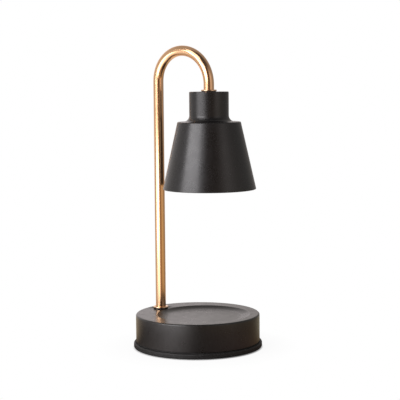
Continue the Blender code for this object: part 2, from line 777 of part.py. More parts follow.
def make_terminal_block(base, plastic):
    corners = [
        (TERMINAL_REAR, -TERMINAL_HALF_WIDTH, TERMINAL_EDGE),
        (TERMINAL_FRONT, -TERMINAL_HALF_WIDTH, TERMINAL_EDGE),
        (TERMINAL_FRONT, TERMINAL_HALF_WIDTH, TERMINAL_EDGE),
        (TERMINAL_REAR, TERMINAL_HALF_WIDTH, TERMINAL_EDGE),
    ]
    shape = bmesh.new()
    extrude_outline(shape, rounded(corners), TERMINAL_BOTTOM, TERMINAL_TOP)
    block = piece("terminal_block", shape, base, plastic)
    rear = TERMINAL_REAR - OVERRUN
    front = TERMINAL_FRONT + OVERRUN
    for side in pole_sides():
        cut(block, bar_along_x(rear, front, INSERT_HOLE, sideways=side * POLE_SPACING / 2))
    top = TERMINAL_TOP + OVERRUN
    cut(block, rods(clamp_screw_places(), CLAMP_SCREW_RADIUS + GAP, INSERT_Z, top))
    middle = [(TERMINAL_X, 0)]
    head = FIXING_HEAD_RADIUS + GAP
    below = TERMINAL_BOTTOM - OVERRUN
    cut(block, stepped_bores(middle, head, top, FIXING_SEAT - GAP, TAPPING_HOLE, below))


def make_terminal_metal(base, brass, steel):
    tube = bar_along_x(INSERT_REAR, INSERT_FRONT, INSERT_RADIUS, INSERT_BORE)
    insert = piece("terminal_insert", tube, base, brass)
    top = INSERT_Z + INSERT_RADIUS + OVERRUN
    rows = [(row, 0) for row in clamp_screw_rows()]
    cut(insert, rods(rows, CLAMP_SCREW_RADIUS + GAP, INSERT_Z, top))
    repeat(insert, wiring_places(0))
    tip = INSERT_Z + LEAD_RADIUS + GAP
    head = TERMINAL_TOP - CLAMP_SCREW_SINK
    screw = piece("terminal_screw", rods([(0, 0)], CLAMP_SCREW_RADIUS, tip, head), base, steel)
    repeat(screw, clamp_screw_places())
    length = FIXING_SEAT - TERMINAL_STAND_TOP + FIXING_REACH
    outline = screw_outline(FIXING_HEAD_RADIUS, FIXING_HEAD_HEIGHT, 0, TAPPING_RADIUS, length)
    moved = [(radius, FIXING_SEAT - height) for radius, height in outline]
    screw = piece("terminal_fixing_screw", turned(moved, SCREW_SIDES, closed=False), base, steel)
    screw.location.x = TERMINAL_X


def bend_points(sideways):
    """The two quarter bends of the arch, from the upright over to the drop."""
    turns = [math.radians(90) * step / BEND_STEPS for step in range(BEND_STEPS + 1)]
    rear = [
        (
            POLE_X + REAR_BEND * (1 - math.cos(turn)),
            sideways,
            BEND_START + REAR_BEND * math.sin(turn),
        )
        for turn in turns
    ]
    front = [
        (
            ARCH_X + FRONT_BEND * math.sin(turn),
            sideways,
            ARCH_Z - FRONT_BEND * (1 - math.cos(turn)),
        )
        for turn in turns[1:]
    ]
    return rear + front


def eased(start, start_way, end, end_way):
    """Points of a smooth curve between two places, leaving and arriving along the given ways."""
    start, end = Vector(start), Vector(end)
    pull = (end - start).length
    points = []
    for step in range(LEAD_STEPS + 1):
        t = step / LEAD_STEPS
        stay = 2 * t**3 - 3 * t**2 + 1
        leave = Vector(start_way) * pull * (t**3 - 2 * t**2 + t)
        arrive = Vector(end_way) * pull * (t**3 - t**2)
        points.append(start * stay + end * (1 - stay) + leave + arrive)
    return points


def drawn(name, route, radius, bevel_resolution, axis, material, filled=True):
    """A round bar, or an open skin where it isn't filled, along a route."""
    curve = bpy.data.curves.new(name, "CURVE")
    curve.dimensions = "3D"
    curve.bevel_depth = radius
    curve.bevel_resolution = bevel_resolution
    curve.use_fill_caps = filled
    spline = curve.splines.new("POLY")
    spline.points.add(len(route) - 1)
    for point, place in zip(spline.points, route):
        point.co = (*place, 1)
    curve.materials.append(material)
    made = bpy.data.objects.new(name, curve)
    bpy.context.collection.objects.link(made)
    made.parent = axis
    return made


def make_tube(base, copper):
    """One pipe: upright, two bends, and a drop that ends inside the shade."""
    foot = (POLE_X, 0, BASE_TOP + TUBE_FOOT)
    tip = (SHADE_X, 0, SHADE_TOP + TUBE_TIP)
    route = [foot, *bend_points(0), tip]
    tube = drawn("lamp_tube", route, TUBE_RADIUS, TUBE_ROUND_STEPS, base, copper, filled=False)
    skin_to_sheet(tube, TUBE_WALL)


def make_leads(base, live, neutral):
    """Each lead runs from the terminal block up the tube and down into the lampholder."""
    for name, side, colour in (("lead_live", 1, live), ("lead_neutral", -1, neutral)):
        sideways = side * LEAD_OFFSET
        brass = side * POLE_SPACING / 2
        holder = side * LEAD_HOLE_SPACING / 2
        bush = BASE_TOP + TUBE_FOOT - BUSH_FLANGE - GAP
        low = (POLE_X, sideways, bush)
        entry = (TERMINAL_REAR, brass, INSERT_Z)
        inside = (INSERT_REAR + LEAD_IN_BRASS, brass, INSERT_Z)
        above = (SHADE_X, sideways, SHADE_TOP + TUBE_TIP - BUSH_FLANGE - GAP)
        into = (SHADE_X, holder, SHADE_TOP + HOLDER_TOP)
        end = (SHADE_X, holder, SHADE_TOP + HOLDER_FACE + CAVITY_TOP)
        foot = eased(entry, (-1, 0, 0), low, (0, 0, 1))
        head = eased(above, (0, 0, -1), into, (0, 0, -1))
        route = [inside, *foot, *bend_points(sideways), *head, end]
        drawn(name, route, LEAD_RADIUS, LEAD_ROUND_STEPS, base, colour)


def make_ferrule(name, bottom, axis, gold):
    """A low collar: a round-edged lip whose top rises a little toward the tube."""
    lip = HOLE_RADIUS + FERRULE_LIP
    corners = [
        (HOLE_RADIUS, bottom + FERRULE_HEIGHT, 0),
        (HOLE_RADIUS + FERRULE_TOP_WALL, bottom + FERRULE_HEIGHT, 0),
        (lip, bottom + FERRULE_LIP_HEIGHT, FERRULE_ROUND),
        (lip, bottom, FERRULE_ROUND),
        (HOLE_RADIUS, bottom, 0),
    ]
    piece(name, turned(rounded(corners), SMALL_SIDES), axis, gold)


def make_nut(name, top, height, axis, steel):
    """A hexagon with its corners turned off at both ends, and a bore."""
    inner = NUT_CORNER_RADIUS - NUT_CHAMFER
    blank = [(0, top), (inner, top), (NUT_CORNER_RADIUS, top - NUT_CHAMFER)]
    blank += [(NUT_CORNER_RADIUS, top - height + NUT_CHAMFER), (inner, top - height)]
    blank.append((0, top - height))
    nut = piece(name, turned(blank, SMALL_SIDES, closed=False), axis, steel)
    flats = bmesh.new()
    extrude_outline(flats, hexagon(NUT_FLAT_RADIUS), top - height - OVERRUN, top + OVERRUN)
    combine(nut, flats, "INTERSECT")
    cut(nut, rods([(0, 0)], HOLE_RADIUS, top - height - OVERRUN, top + OVERRUN, SMALL_SIDES))


def make_bush(name, tube_end, axis, plastic):
    """A flanged bush pushed up into an end of the tube; both ends point down."""
    outside = TUBE_RADIUS - TUBE_WALL - GAP
    flange = TUBE_RADIUS - BUSH_FLANGE_WALL
    seat = tube_end - GAP
    outline = [
        (BUSH_BORE, seat + BUSH_LENGTH),
        (outside, seat + BUSH_LENGTH),
        (outside, seat),
        (flange, seat),
        (flange, seat - BUSH_FLANGE),
        (BUSH_BORE, seat - BUSH_FLANGE),
    ]
    piece(name, turned(outline, SMALL_SIDES), axis, plastic)


def make_foot_stack(pole, gold, black, steel, plastic):
    """All that clamps the tube to the drum's top, with heights from the drum's outer face."""
    washer_top = GAP + FOOT_WASHER_THICKNESS
    outside = HOLE_RADIUS + FOOT_WASHER_WIDTH
    piece("foot_washer", ring(HOLE_RADIUS, outside, GAP, washer_top), pole, black)
    make_ferrule("foot_ferrule", washer_top + GAP, pole, gold)
    bottom = CLAMP_TOP - CLAMP_WASHER_THICKNESS
    clamp = ring(HOLE_RADIUS, CLAMP_RADIUS, bottom, CLAMP_TOP)
    piece("tube_clamp_washer", clamp, pole, steel)
    lock = ring(HOLE_RADIUS, LOCK_RADIUS, FOOT_LOCK_TOP - LOCK_WASHER_THICKNESS, FOOT_LOCK_TOP)
    piece("tube_lock_washer", lock, pole, steel)
    make_nut("tube_nut", FOOT_NUT_TOP, FOOT_NUT_HEIGHT, pole, steel)
    make_bush("tube_bush_lower", TUBE_FOOT, pole, plastic)


def make_shade(head, painted):
    """The spun skin, from the hole in its top down to its rim."""
    corners = [
        (HOLE_RADIUS, 0, 0),
        (NECK_RADIUS, 0, NECK_EDGE),
        (NECK_RADIUS, -NECK_HEIGHT, NECK_FILLET),
        (SHOULDER_RADIUS, -NECK_HEIGHT - LEDGE_FALL, LEDGE_EDGE),
        (RIM_RADIUS, -SHADE_HEIGHT, 0),
    ]
    outline = rounded(corners, closed=False, step_deg=SPUN_STEP_DEG)
    skin = turned(outline, LARGE_SIDES, closed=False)
    shade = piece("shade", skin, head, painted)
    skin_to_sheet(shade, SHADE_SHEET)


def make_shade_stack(head, gold, black, steel, plastic):
    """All that clamps the shade to the tube, with heights from the shade's top face."""
    washer_top = GAP + SHADE_WASHER_THICKNESS
    outside = HOLE_RADIUS + FOOT_WASHER_WIDTH
    piece("shade_washer", ring(HOLE_RADIUS, outside, GAP, washer_top), head, black)
    make_ferrule("shade_ferrule", washer_top + GAP, head, gold)
    bottom = SHADE_LOCK_TOP - LOCK_WASHER_THICKNESS
    piece("shade_lock_washer", ring(HOLE_RADIUS, LOCK_RADIUS, bottom, SHADE_LOCK_TOP), head, steel)
    make_nut("shade_nut", SHADE_NUT_TOP, SHADE_NUT_HEIGHT, head, steel)
    make_bush("tube_bush_upper", TUBE_TIP, head, plastic)


def make_strap(head, steel):
    """A strap bent like a hat: its crown is clamped under the shade's top, its feet on the holder."""
    inner_top = STRAP_TOP - STRAP_THICKNESS
    foot_top = STRAP_BOTTOM + STRAP_THICKNESS
    outer_bend = STRAP_BEND + STRAP_THICKNESS
    right = [
        (STRAP_OUTSIDE, STRAP_TOP, outer_bend),
        (STRAP_OUTSIDE, foot_top, STRAP_BEND),
        (STRAP_END, foot_top, 0),
        (STRAP_END, STRAP_BOTTOM, 0),
        (STRAP_INSIDE, STRAP_BOTTOM, outer_bend),
        (STRAP_INSIDE, inner_top, STRAP_BEND),
    ]
    left = [(-across, up, radius) for across, up, radius in reversed(right)]
    shape = bmesh.new()
    extrude_outline(shape, rounded(right + left), -STRAP_WIDTH / 2, STRAP_WIDTH / 2)
    for point in shape.verts:
        across, up, along = point.co
        point.co = (along, across, up)
    strap = piece("lampholder_strap", shape, head, steel)
    cut(strap, rods([(0, 0)], HOLE_RADIUS, inner_top - OVERRUN, STRAP_TOP + OVERRUN, SMALL_SIDES))
    cut(strap, rods(holder_screw_places(), M3_HOLE, STRAP_BOTTOM - OVERRUN, foot_top + OVERRUN))


def holder_screw_places():
    return [(0, side * HOLDER_SCREW_Y) for side in pole_sides()]


def slots(half_width, bottom, top, pins_deg=LAMP_PINS_DEG):
    """A slot for each pin, from where the locked pin stands to where it comes free."""
    shape = bmesh.new()
    for pin_deg in pins_deg:
        outline = kidney(PIN_SPACING / 2, half_width, pin_deg - TWIST_DEG, pin_deg)
        extrude_outline(shape, outline, HOLDER_FACE + bottom, HOLDER_FACE + top)
    return shape


def pin_places(turn_deg=0.0):
    turns = [math.radians(pin_deg + turn_deg) for pin_deg in LAMP_PINS_DEG]
    return [(PIN_SPACING / 2 * math.cos(turn), PIN_SPACING / 2 * math.sin(turn)) for turn in turns]


def make_lampholder(head, ceramic):
    """A ceramic block with two keyholes: a pin's head enters the wide end and twists along."""
    shape = bmesh.new()
    outline = stadium(HOLDER_HALF_LENGTH, HOLDER_HALF_WIDTH)
    extrude_outline(shape, outline, HOLDER_FACE, HOLDER_TOP)
    holder = piece("lampholder", shape, head, ceramic)
    edge = holder.modifiers.new("edge", "BEVEL")
    edge.width = HOLDER_EDGE
    edge.segments = 1
    edge.limit_method = "ANGLE"
    edge.angle_limit = math.radians(2 * SHARP_DEG)
    below = HOLDER_FACE - OVERRUN
    lip = HOLDER_FACE + HOLDER_LIP
    cut(holder, slots(CAVITY_HALF_WIDTH, HOLDER_LIP, CAVITY_TOP))
    cut(holder, slots(SLOT_HALF_WIDTH, -OVERRUN, CAVITY_TOP - OVERRUN))
    entry = rods(pin_places(-TWIST_DEG), PIN_HEAD_RADIUS + GAP, below, lip + OVERRUN, SMALL_SIDES)
    cut(holder, entry)
    seat = HOLDER_FACE + HEAD_RECESS + M3_HEAD_HEIGHT + GAP
    above = HOLDER_TOP + OVERRUN
    cut(holder, stepped_bores(holder_screw_places(), COUNTERBORE, below, seat, M3_HOLE, above))
    lead_holes = [(0, side * LEAD_HOLE_SPACING / 2) for side in pole_sides()]
    floor = HOLDER_FACE + CAVITY_TOP - OVERRUN
    cut(holder, rods(lead_holes, LEAD_RADIUS + GAP, floor, HOLDER_TOP + OVERRUN))


def make_holder_metal(head, brass, steel):
    """A sprung contact over each pin, held by a post, and the screws up into the strap."""
    half_width = CAVITY_HALF_WIDTH - 2 * GAP
    top = CONTACT_Z + CONTACT_THICKNESS
    leaf = slots(half_width, CONTACT_Z, top, LAMP_PINS_DEG[:1])
    contact = piece("lampholder_contact", leaf, head, brass)
    post_bottom = HOLDER_FACE + CONTACT_Z + CONTACT_THICKNESS / 2
    post_top = HOLDER_FACE + CAVITY_TOP - GAP
    join(contact, rods(pin_places(-TWIST_DEG)[:1], CONTACT_POST_RADIUS, post_bottom, post_top))
    repeat(contact, [(0, 0), (0, 0)], turns_deg=[0, 180])
    seat = HOLDER_FACE + HEAD_RECESS + M3_HEAD_HEIGHT
    length = STRAP_BOTTOM + STRAP_THICKNESS + THREAD_PROUD - seat
    outline = screw_outline(M3_HEAD_RADIUS, M3_HEAD_HEIGHT, M3_HEAD_EDGE, M3_RADIUS, length)
    make_screws("lampholder_screw", holder_screw_places(), seat, outline, head, steel)


def make_bulb_base(twist, ceramic):
    shape = bmesh.new()
    outline = stadium(BASE_HALF_LENGTH, BASE_HALF_WIDTH)
    extrude_outline(shape, outline, BASE_BOTTOM_Z, BASE_TOP_Z)
    base = piece("bulb_base", shape, twist, ceramic)
    edge = base.modifiers.new("edge", "BEVEL")
    edge.width = BASE_EDGE
    edge.segments = 1
    edge.limit_method = "ANGLE"
    edge.angle_limit = math.radians(2 * SHARP_DEG)
    pin_floor = BASE_TOP_Z - PIN_ROOT - GAP
    cut(base, rods(pin_places(), PIN_RADIUS + GAP, pin_floor, BASE_TOP_Z + OVERRUN))
    socket = CAPSULE_RADIUS + CAPSULE_ROOM
    socket_top = BASE_BOTTOM_Z + CAPSULE_ROOT + GAP
    cut(base, rods([(0, 0)], socket, BASE_BOTTOM_Z - OVERRUN, socket_top, SMALL_SIDES))


def make_pins(twist, nickel):
    """Headed pins: the lip of the lampholder lies between each head and the bulb's base."""
    top = PIN_HEAD_Z + PIN_HEAD_HEIGHT
    corners = [
        (0, top, 0),
        (PIN_HEAD_RADIUS, top, PIN_HEAD_EDGE),
        (PIN_HEAD_RADIUS, PIN_HEAD_Z, 0),
        (PIN_RADIUS, PIN_HEAD_Z, 0),
        (PIN_RADIUS, BASE_TOP_Z - PIN_ROOT, 0),
        (0, BASE_TOP_Z - PIN_ROOT, 0),
    ]
    shape = turned(rounded(corners, closed=False), SCREW_SIDES, closed=False)
    repeat(piece("bulb_pin", shape, twist, nickel), pin_places())


def make_reflector(twist, mirror):
    """A pressed glass bowl: a flat back with a hole for the capsule, then a quarter ellipse."""
    hole = CAPSULE_RADIUS + CAPSULE_ROOM
    outline = [(hole, BULB_TOP_Z)]
    depth = BULB_DEPTH - BULB_RIM
    for step in range(BOWL_STEPS + 1):
        turn = math.radians(90) * step / BOWL_STEPS
        radius = BULB_SHOULDER + (BULB_RADIUS - BULB_SHOULDER) * math.sin(turn)
        outline.append((radius, BULB_TOP_Z - depth * (1 - math.cos(turn))))
    outline.append((BULB_RADIUS, BULB_FACE_Z))
    reflector = piece("bulb_reflector", turned(outline, BULB_SIDES, closed=False), twist, mirror)
    skin_to_sheet(reflector, BULB_WALL)


def make_bulb_glass(twist, glass):
    bottom = BULB_FACE_Z + FACE_INSET
    radius = BULB_RADIUS - BULB_WALL - GAP
    face = rods([(0, 0)], radius, bottom, bottom + FACE_THICKNESS, BULB_SIDES)
    piece("bulb_front_glass", face, twist, glass)
    top = BASE_BOTTOM_Z + CAPSULE_ROOT
    corners = [
        (0, top, 0),
        (CAPSULE_RADIUS, top, 0),
        (CAPSULE_RADIUS, top - CAPSULE_LENGTH, CAPSULE_ROUND),
        (0, top - CAPSULE_LENGTH, 0),
    ]
    capsule = turned(rounded(corners, closed=False), SMALL_SIDES, closed=False)
    piece("bulb_capsule", capsule, twist, glass)


def main():
    clear_scene()
    satin_black = paint("satin_black_paint", (0.016, 0.015, 0.015), 0.38)
    foot_black = paint("moulded_black", (0.012, 0.012, 0.012), 0.6)
    washer_black = paint("washer_black", (0.008, 0.008, 0.008), 0.5)
    copper = paint("copper_plate", (0.86, 0.50, 0.30), 0.16, metallic=1.0)
    foam = paint("pad_foam", (0.02, 0.02, 0.02), 0.95)
    iron = paint("cast_iron", (0.09, 0.09, 0.09), 0.7, metallic=0.6)
    zinc = paint("zinc_steel", (0.62, 0.63, 0.65), 0.35, metallic=1.0)
    brass = paint("brass", (0.78, 0.60, 0.28), 0.3, metallic=1.0)
    rubber = paint("grommet_rubber", (0.015, 0.015, 0.015), 0.85)
    clear_plastic = paint("terminal_plastic", (0.82, 0.82, 0.80), 0.45)
    nylon = paint("bush_nylon", (0.75, 0.74, 0.70), 0.5)
    live = paint("lead_brown", (0.18, 0.07, 0.03), 0.5)
    neutral = paint("lead_blue", (0.03, 0.12, 0.42), 0.5)
    ceramic = paint("white_ceramic", (0.80, 0.79, 0.75), 0.55)
    mirror = paint("reflector_mirror", (0.75, 0.76, 0.80), 0.12, metallic=0.9)
    glass = paint("clear_glass", (0.95, 0.96, 0.97), 0.04, alpha=0.35)

    base = axis_at("base_axis", (0, 0, 0))
    pole = axis_at("pole_axis", (POLE_X, 0, BASE_TOP))
    head = axis_at("head_axis", (SHADE_X, 0, SHADE_TOP))
    twist = axis_at("bulb_twist_axis", (SHADE_X, 0, SHADE_TOP + HOLDER_FACE))

    make_drum(base, satin_black)
    make_bottom_plate(base, foot_black)
    make_foot_pad(base, foam)
    make_posts(base, zinc)
    make_plate_screws(base, zinc)
    make_ballast(base, iron)
    make_ballast_screws(base, zinc)
    make_grommet(base, rubber)
    make_terminal_block(base, clear_plastic)
    make_terminal_metal(base, brass, zinc)
    make_tube(base, copper)
    make_leads(base, live, neutral)
    make_foot_stack(pole, copper, washer_black, zinc, nylon)
    make_shade(head, satin_black)
    make_shade_stack(head, copper, washer_black, zinc, nylon)
    make_strap(head, zinc)
    make_lampholder(head, ceramic)
    make_holder_metal(head, brass, zinc)
    make_bulb_base(twist, ceramic)
    make_pins(twist, zinc)
    make_reflector(twist, mirror)
    make_bulb_glass(twist, glass)


main()
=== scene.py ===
"""Looks of the candle warmer lamp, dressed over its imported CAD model.

Metres, +Z up, in the CAD's own frame: the origin is on the floor at the centre of the base, the
tube stands at -X and the shade hangs toward +X. The camera stands where the photographer stood.
"""

import math

import bmesh
import bpy
from mathutils import Matrix, Vector


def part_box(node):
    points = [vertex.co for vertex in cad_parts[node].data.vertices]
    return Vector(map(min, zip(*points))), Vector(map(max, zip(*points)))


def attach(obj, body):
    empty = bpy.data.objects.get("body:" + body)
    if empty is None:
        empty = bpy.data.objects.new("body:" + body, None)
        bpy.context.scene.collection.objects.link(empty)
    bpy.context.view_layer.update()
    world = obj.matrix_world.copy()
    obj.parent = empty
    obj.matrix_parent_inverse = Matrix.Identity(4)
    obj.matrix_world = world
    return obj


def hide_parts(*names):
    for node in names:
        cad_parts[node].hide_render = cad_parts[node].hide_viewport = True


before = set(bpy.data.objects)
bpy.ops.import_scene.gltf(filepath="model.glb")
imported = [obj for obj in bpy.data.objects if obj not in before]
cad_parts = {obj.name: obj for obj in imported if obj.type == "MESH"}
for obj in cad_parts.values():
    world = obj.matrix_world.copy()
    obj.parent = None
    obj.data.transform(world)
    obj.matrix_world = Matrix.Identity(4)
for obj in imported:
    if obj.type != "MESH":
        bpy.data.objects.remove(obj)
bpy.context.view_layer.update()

# Camera, fitted to the outlines in the photograph
VIEW_AZIMUTH = math.radians(37.1)
VIEW_DISTANCE = 1.2103
VIEW_HEIGHT = 0.2621
VIEW_DOWN = math.radians(5.608)
VIEW_YAW = math.radians(0.147)
VIEW_ROLL = math.radians(-0.480)
FOCAL_PIXELS = 1258.25
IMAGE_PIXELS = 400

# Forms, with the same sizes as the solids: tube
TUBE_RADIUS = 0.0050
TUBE_WALL = 0.0010
TUBE_TIP = 0.2403
REAR_BEND = 0.0290
FRONT_BEND = 0.0324
POLE_X = -0.0459
HOLE_RADIUS = 0.0053

# Collars, as (outward from the hole's edge, up, round), and washers
COLLAR_PROFILE = (
    (-0.00025, 0.0009, 0),
    (-0.00005, 0.0013, 0.0001),
    (0.0010, 0.0015, 0.0004),
    (0.0022, 0.0012, 0.00045),
    (0.0022, 0, 0.0004),
    (-0.0002, 0, 0),
)
FOOT_WASHER_HEIGHT = 0.0008
SHADE_WASHER_HEIGHT = 0.0005
WASHER_ROUND = 0.0001

# Drum and tray
BASE_TOP = 0.0327
DRUM_RADIUS = 0.06025
DRUM_BOTTOM = 0.0064
DRUM_EDGE = 0.0016
DRUM_SHEET = 0.0010
TRAY_X = 0.0067
TRAY_RADIUS = 0.0457
TRAY_SLOPE = 0.0111
TRAY_DEPTH = 0.0026
TRAY_EDGE_SHARE = 0.12

# Cord inlet, and the grommet's faces by their way in from the drum's wall
CORD_Z = 0.0180
CORD_BORE = 0.0032
INLET_HALF = 0.0045
INLET_SIDES = 2  # sides of the drum that are left out on either side of the cord
GROMMET_RADIUS = 0.0065
GROMMET_NECK = 0.0044
GROMMET_FACE = -0.0017
GROMMET_SEAT = -0.0003
GROMMET_INNER_SEAT = 0.0016
GROMMET_END = 0.0030

# Shade
SHADE_X = 0.0155
SHADE_TOP = 0.2477
SHADE_SHEET = 0.0010
SHADE_HEIGHT = 0.0929
NECK_RADIUS = 0.01893
NECK_HEIGHT = 0.0282
NECK_EDGE = 0.0009
NECK_FILLET = 0.0074
LEDGE_WIDTH = 0.01135
LEDGE_FALL = 0.0004
LEDGE_EDGE = 0.0012
CONE_SPREAD = 0.0144

# White faces of the shade: those turned to its axis, or down and higher than the rim
FACING_IN = 0.0001
FACING_DOWN = 0.5
RIM_BAND = 0.002

# Foot: lip, groove, spigot, screw wells, and the pocket with its pad
PLATE_RADIUS = 0.0625
PLATE_INSIDE = 0.0440
PLATE_FLOOR = 0.0041
LIP_BOTTOM = 0.0005
LIP_TOP = 0.0054
GROOVE_RADIUS = 0.05965
GROOVE_TOP = 0.0061
SPIGOT_RADIUS = 0.0589
SPIGOT_INSIDE = 0.0571
SPIGOT_TOP = 0.0101
POCKET_RADIUS = 0.0483
POCKET_TOP = 0.0023
PAD_RADIUS = 0.0480
PAD_TOP = 0.0020
POST_CIRCLE = 0.0542
POST_TURNS = (0, 120, 240)
WELL_RADIUS = 0.0028
WELL_BOTTOM = -0.0010
WELL_TOP = 0.0032

# Pan-head screws
HEAD_HEIGHT = 0.0020
HEAD_SIDE = 0.0010
HEAD_DOME = (0.72, 0.00012)  # share of the head's radius, and height over its lowest point
SHANK_RADIUS = 0.00148
SHANK_ROOT = 0.00128
SHANK_TIP = 0.0013
RIDGE_PITCH = 0.0005
RIDGE_START = 0.0004
RIDGE_END = 0.0006
CROSS_WIDTH = 0.00033
CROSS_REACH = 0.00135
CROSS_DEPTH = 0.0011
CROSS_TAPER = 0.55
CROSS_OVERRUN = 0.001

# Bulb
HOLDER_FACE = 0.2195
BULB_RADIUS = 0.0250
BULB_SHOULDER = 0.0125
BULB_TOP = 0.2019
BULB_FACE = 0.1672
BULB_WALL = 0.0016
BULB_RIM = 0.0040
BULB_HOLE = 0.0054
BULB_LIP_IN = 0.0003
BULB_LIP_UP = 0.0005
BASE_EDGE_PROFILE = ((0, 0.0008), (0.0002, 0.00032), (0.0008, 0))  # (from the end, inward)
FACET_ROWS = 9
FACET_COLUMNS = 36
FACET_LIFT = 0.0004
PIN_RADIUS = 0.0015
PIN_HEAD_RADIUS = 0.0024
PIN_NECK = 0.0025
CAPSULE_SHOULDER = 0.0012
CAPSULE_TIP_RADIUS = 0.0011
CAPSULE_TIP_HEIGHT = 0.0006
CAPSULE_END_RADIUS = 0.0007
COIL_TURNS = 9
COIL_STEPS = 12
COIL_SPAN = 0.0052
COIL_RADIUS = 0.00065
COIL_RISE = 0.0075
LEG_RISE = 0.0003
LEG_BEND = (0.0030, 0.0095)  # from the middle, and over the capsule's tip
LEG_END = (0.0026, 0.0006)  # from the middle, and below the capsule's top
WIRE_RADIUS = 0.00009

# Key light at the photographer's left, as panels of (name, degrees from KEY_TURN, distance,
# height, (width, height), level, height it is aimed at)
KEY_TURN = -49.5
KEY_COLOUR = (1.0, 0.975, 1.0)
KEY_PANELS = (
    ("key_softbox", -0.5, 1.20, 0.565, (0.94, 0.53), 5.6, 0.4),
    ("key_low_softbox", -8, 0.60, 0.215, (0.36, 0.11), 0.9, 0.215),
    ("key_foot_softbox", 3, 0.60, 0.085, (0.60, 0.15), 3.5, 0.085),
    ("key_high_softbox", 0, 0.56, 0.81, (0.45, 0.26), 2.4, 0.3),
    ("key_soft_end", 28, 0.62, 0.50, (0.16, 0.36), 1.6, 0.4),
    ("key_low_end", 22, 0.60, 0.25, (0.16, 0.07), 0.8, 0.25),
)

# What surfaces mirror round the lamp, by degrees from the camera toward the image's right
WALL_LEVELS = (
    (-180, (1.12, 1.03, 1.03)),
    (-150, (0.85, 0.80, 0.78)),
    (-110, (0.60, 0.57, 0.55)),
    (-80, (0.52, 0.50, 0.49)),
    (-25, (0.10, 0.09, 0.10)),
    (-8, (0.11, 0.07, 0.045)),
    (20, (0.10, 0.06, 0.03)),
    (46, (0.84, 0.76, 0.73)),
    (74, (0.40, 0.37, 0.35)),
    (110, (0.30, 0.29, 0.28)),
    (150, (0.32, 0.30, 0.28)),
    (168, (0.50, 0.46, 0.43)),
    (180, (0.93, 0.86, 0.84)),
)
CEILING_LEVELS = (
    (-180, (0.38, 0.36, 0.35)),
    (-100, (0.45, 0.43, 0.42)),
    (-45, (0.12, 0.12, 0.12)),
    (0, (0.05, 0.05, 0.05)),
    (60, (0.08, 0.08, 0.08)),
    (120, (0.33, 0.31, 0.30)),
    (180, (0.38, 0.36, 0.35)),
)
# Painted light that the floor shows to glossy rays: the near table, with a painted reflection of
# the key light toward -40 degrees
TABLE_PAINTED_LIGHT = (
    (-180, (0.80, 0.72, 0.66)),
    (-150, (0.88, 0.74, 0.53)),
    (-125, (0.68, 0.52, 0.34)),
    (-95, (0.05, 0.035, 0.03)),
    (-62, (0.40, 0.34, 0.32)),
    (-38, (0.80, 0.72, 0.70)),
    (-20, (0.42, 0.36, 0.34)),
    (0, (0.04, 0.03, 0.025)),
    (55, (0.30, 0.18, 0.15)),
    (100, (0.26, 0.17, 0.09)),
    (135, (0.52, 0.46, 0.33)),
    (180, (0.80, 0.72, 0.66)),
)
# Painted light of the far table, brightest toward -40 degrees where it paints the key light's
# reflection
FAR_TABLE_PAINTED_LIGHT = (
    (-180, (0.80, 0.72, 0.66)),
    (-130, (0.50, 0.46, 0.43)),
    (-100, (0.62, 0.60, 0.58)),
    (-67, (1.40, 1.32, 1.32)),
    (-40, (2.35, 2.25, 2.25)),
    (-20, (1.50, 1.40, 1.35)),
    (0, (0.34, 0.28, 0.22)),
    (25, (0.36, 0.23, 0.11)),
    (55, (0.62, 0.50, 0.30)),
    (90, (0.46, 0.38, 0.26)),
    (120, (0.24, 0.20, 0.15)),
    (180, (0.80, 0.72, 0.66)),
)

# Where the ceiling takes over from the walls, by the height of the way looked along
CEILING_BAND = (0.34, 0.74)

# Floor: how white the camera sees it, by the distance from the lamp's middle
FLOOR_RADIUS = 4
FLOOR_Z = -0.0002
FLOOR_COLOUR = (0.92, 0.92, 0.92, 1)
WHITE_UNDER = 0.2
WHITE_NEAR = 0.94
NEAR_BAND = (0.0614, 0.0638)
OPEN_BAND = (0.0638, 0.10)

# Floor as surfaces mirror it: painted shade at the foot, then the painted light of the near table,
# the far one and the walls
FOOT_PAINTED_SHADE = (0.004, 0.004, 0.004)
TABLE_BAND = (0.0620, 0.082)
FAR_TABLE_BAND = (0.17, 0.29)
WALL_BAND = (1.4, 2.8)

# Fineness of the meshes
ROUND_SIDES = 168
BOWL_SIDES = 112
DISC_SIDES = 96
SMALL_SIDES = 64
TUBE_SIDES = 56
CAPSULE_SIDES = 56
PIN_SIDES = 48
WELL_SIDES = 48
SCREW_SIDES = 40
BEND_STEPS = 30
DRUM_EDGE_STEPS = 14
TRAY_STEPS = 20
RIM_STEPS = 8
BOWL_STEPS = 18
STADIUM_STEPS = 24
ARC_STEP = math.radians(7.5)
ROUND_LIMIT = 0.49  # how much of the shorter side beside a corner its round may take
QUARTER = math.radians(90)
SUPPORT = 0.00012  # how close a flat's own ring of points lies to a rounded edge
MERGE = 0.000001  # points that are closer become one
SHARP = math.radians(38)
CAD_SHARP = math.radians(30)
FACET_SHARP = math.radians(9)


def toward(turn_deg):
    """A level direction, turned from the one toward the camera, to the image's right."""
    turn = math.radians(turn_deg)
    camera_way = Vector((math.sin(VIEW_AZIMUTH), -math.cos(VIEW_AZIMUTH), 0))
    right = Vector((math.cos(VIEW_AZIMUTH), math.sin(VIEW_AZIMUTH), 0))
    return camera_way * math.cos(turn) + right * math.sin(turn)


# Materials


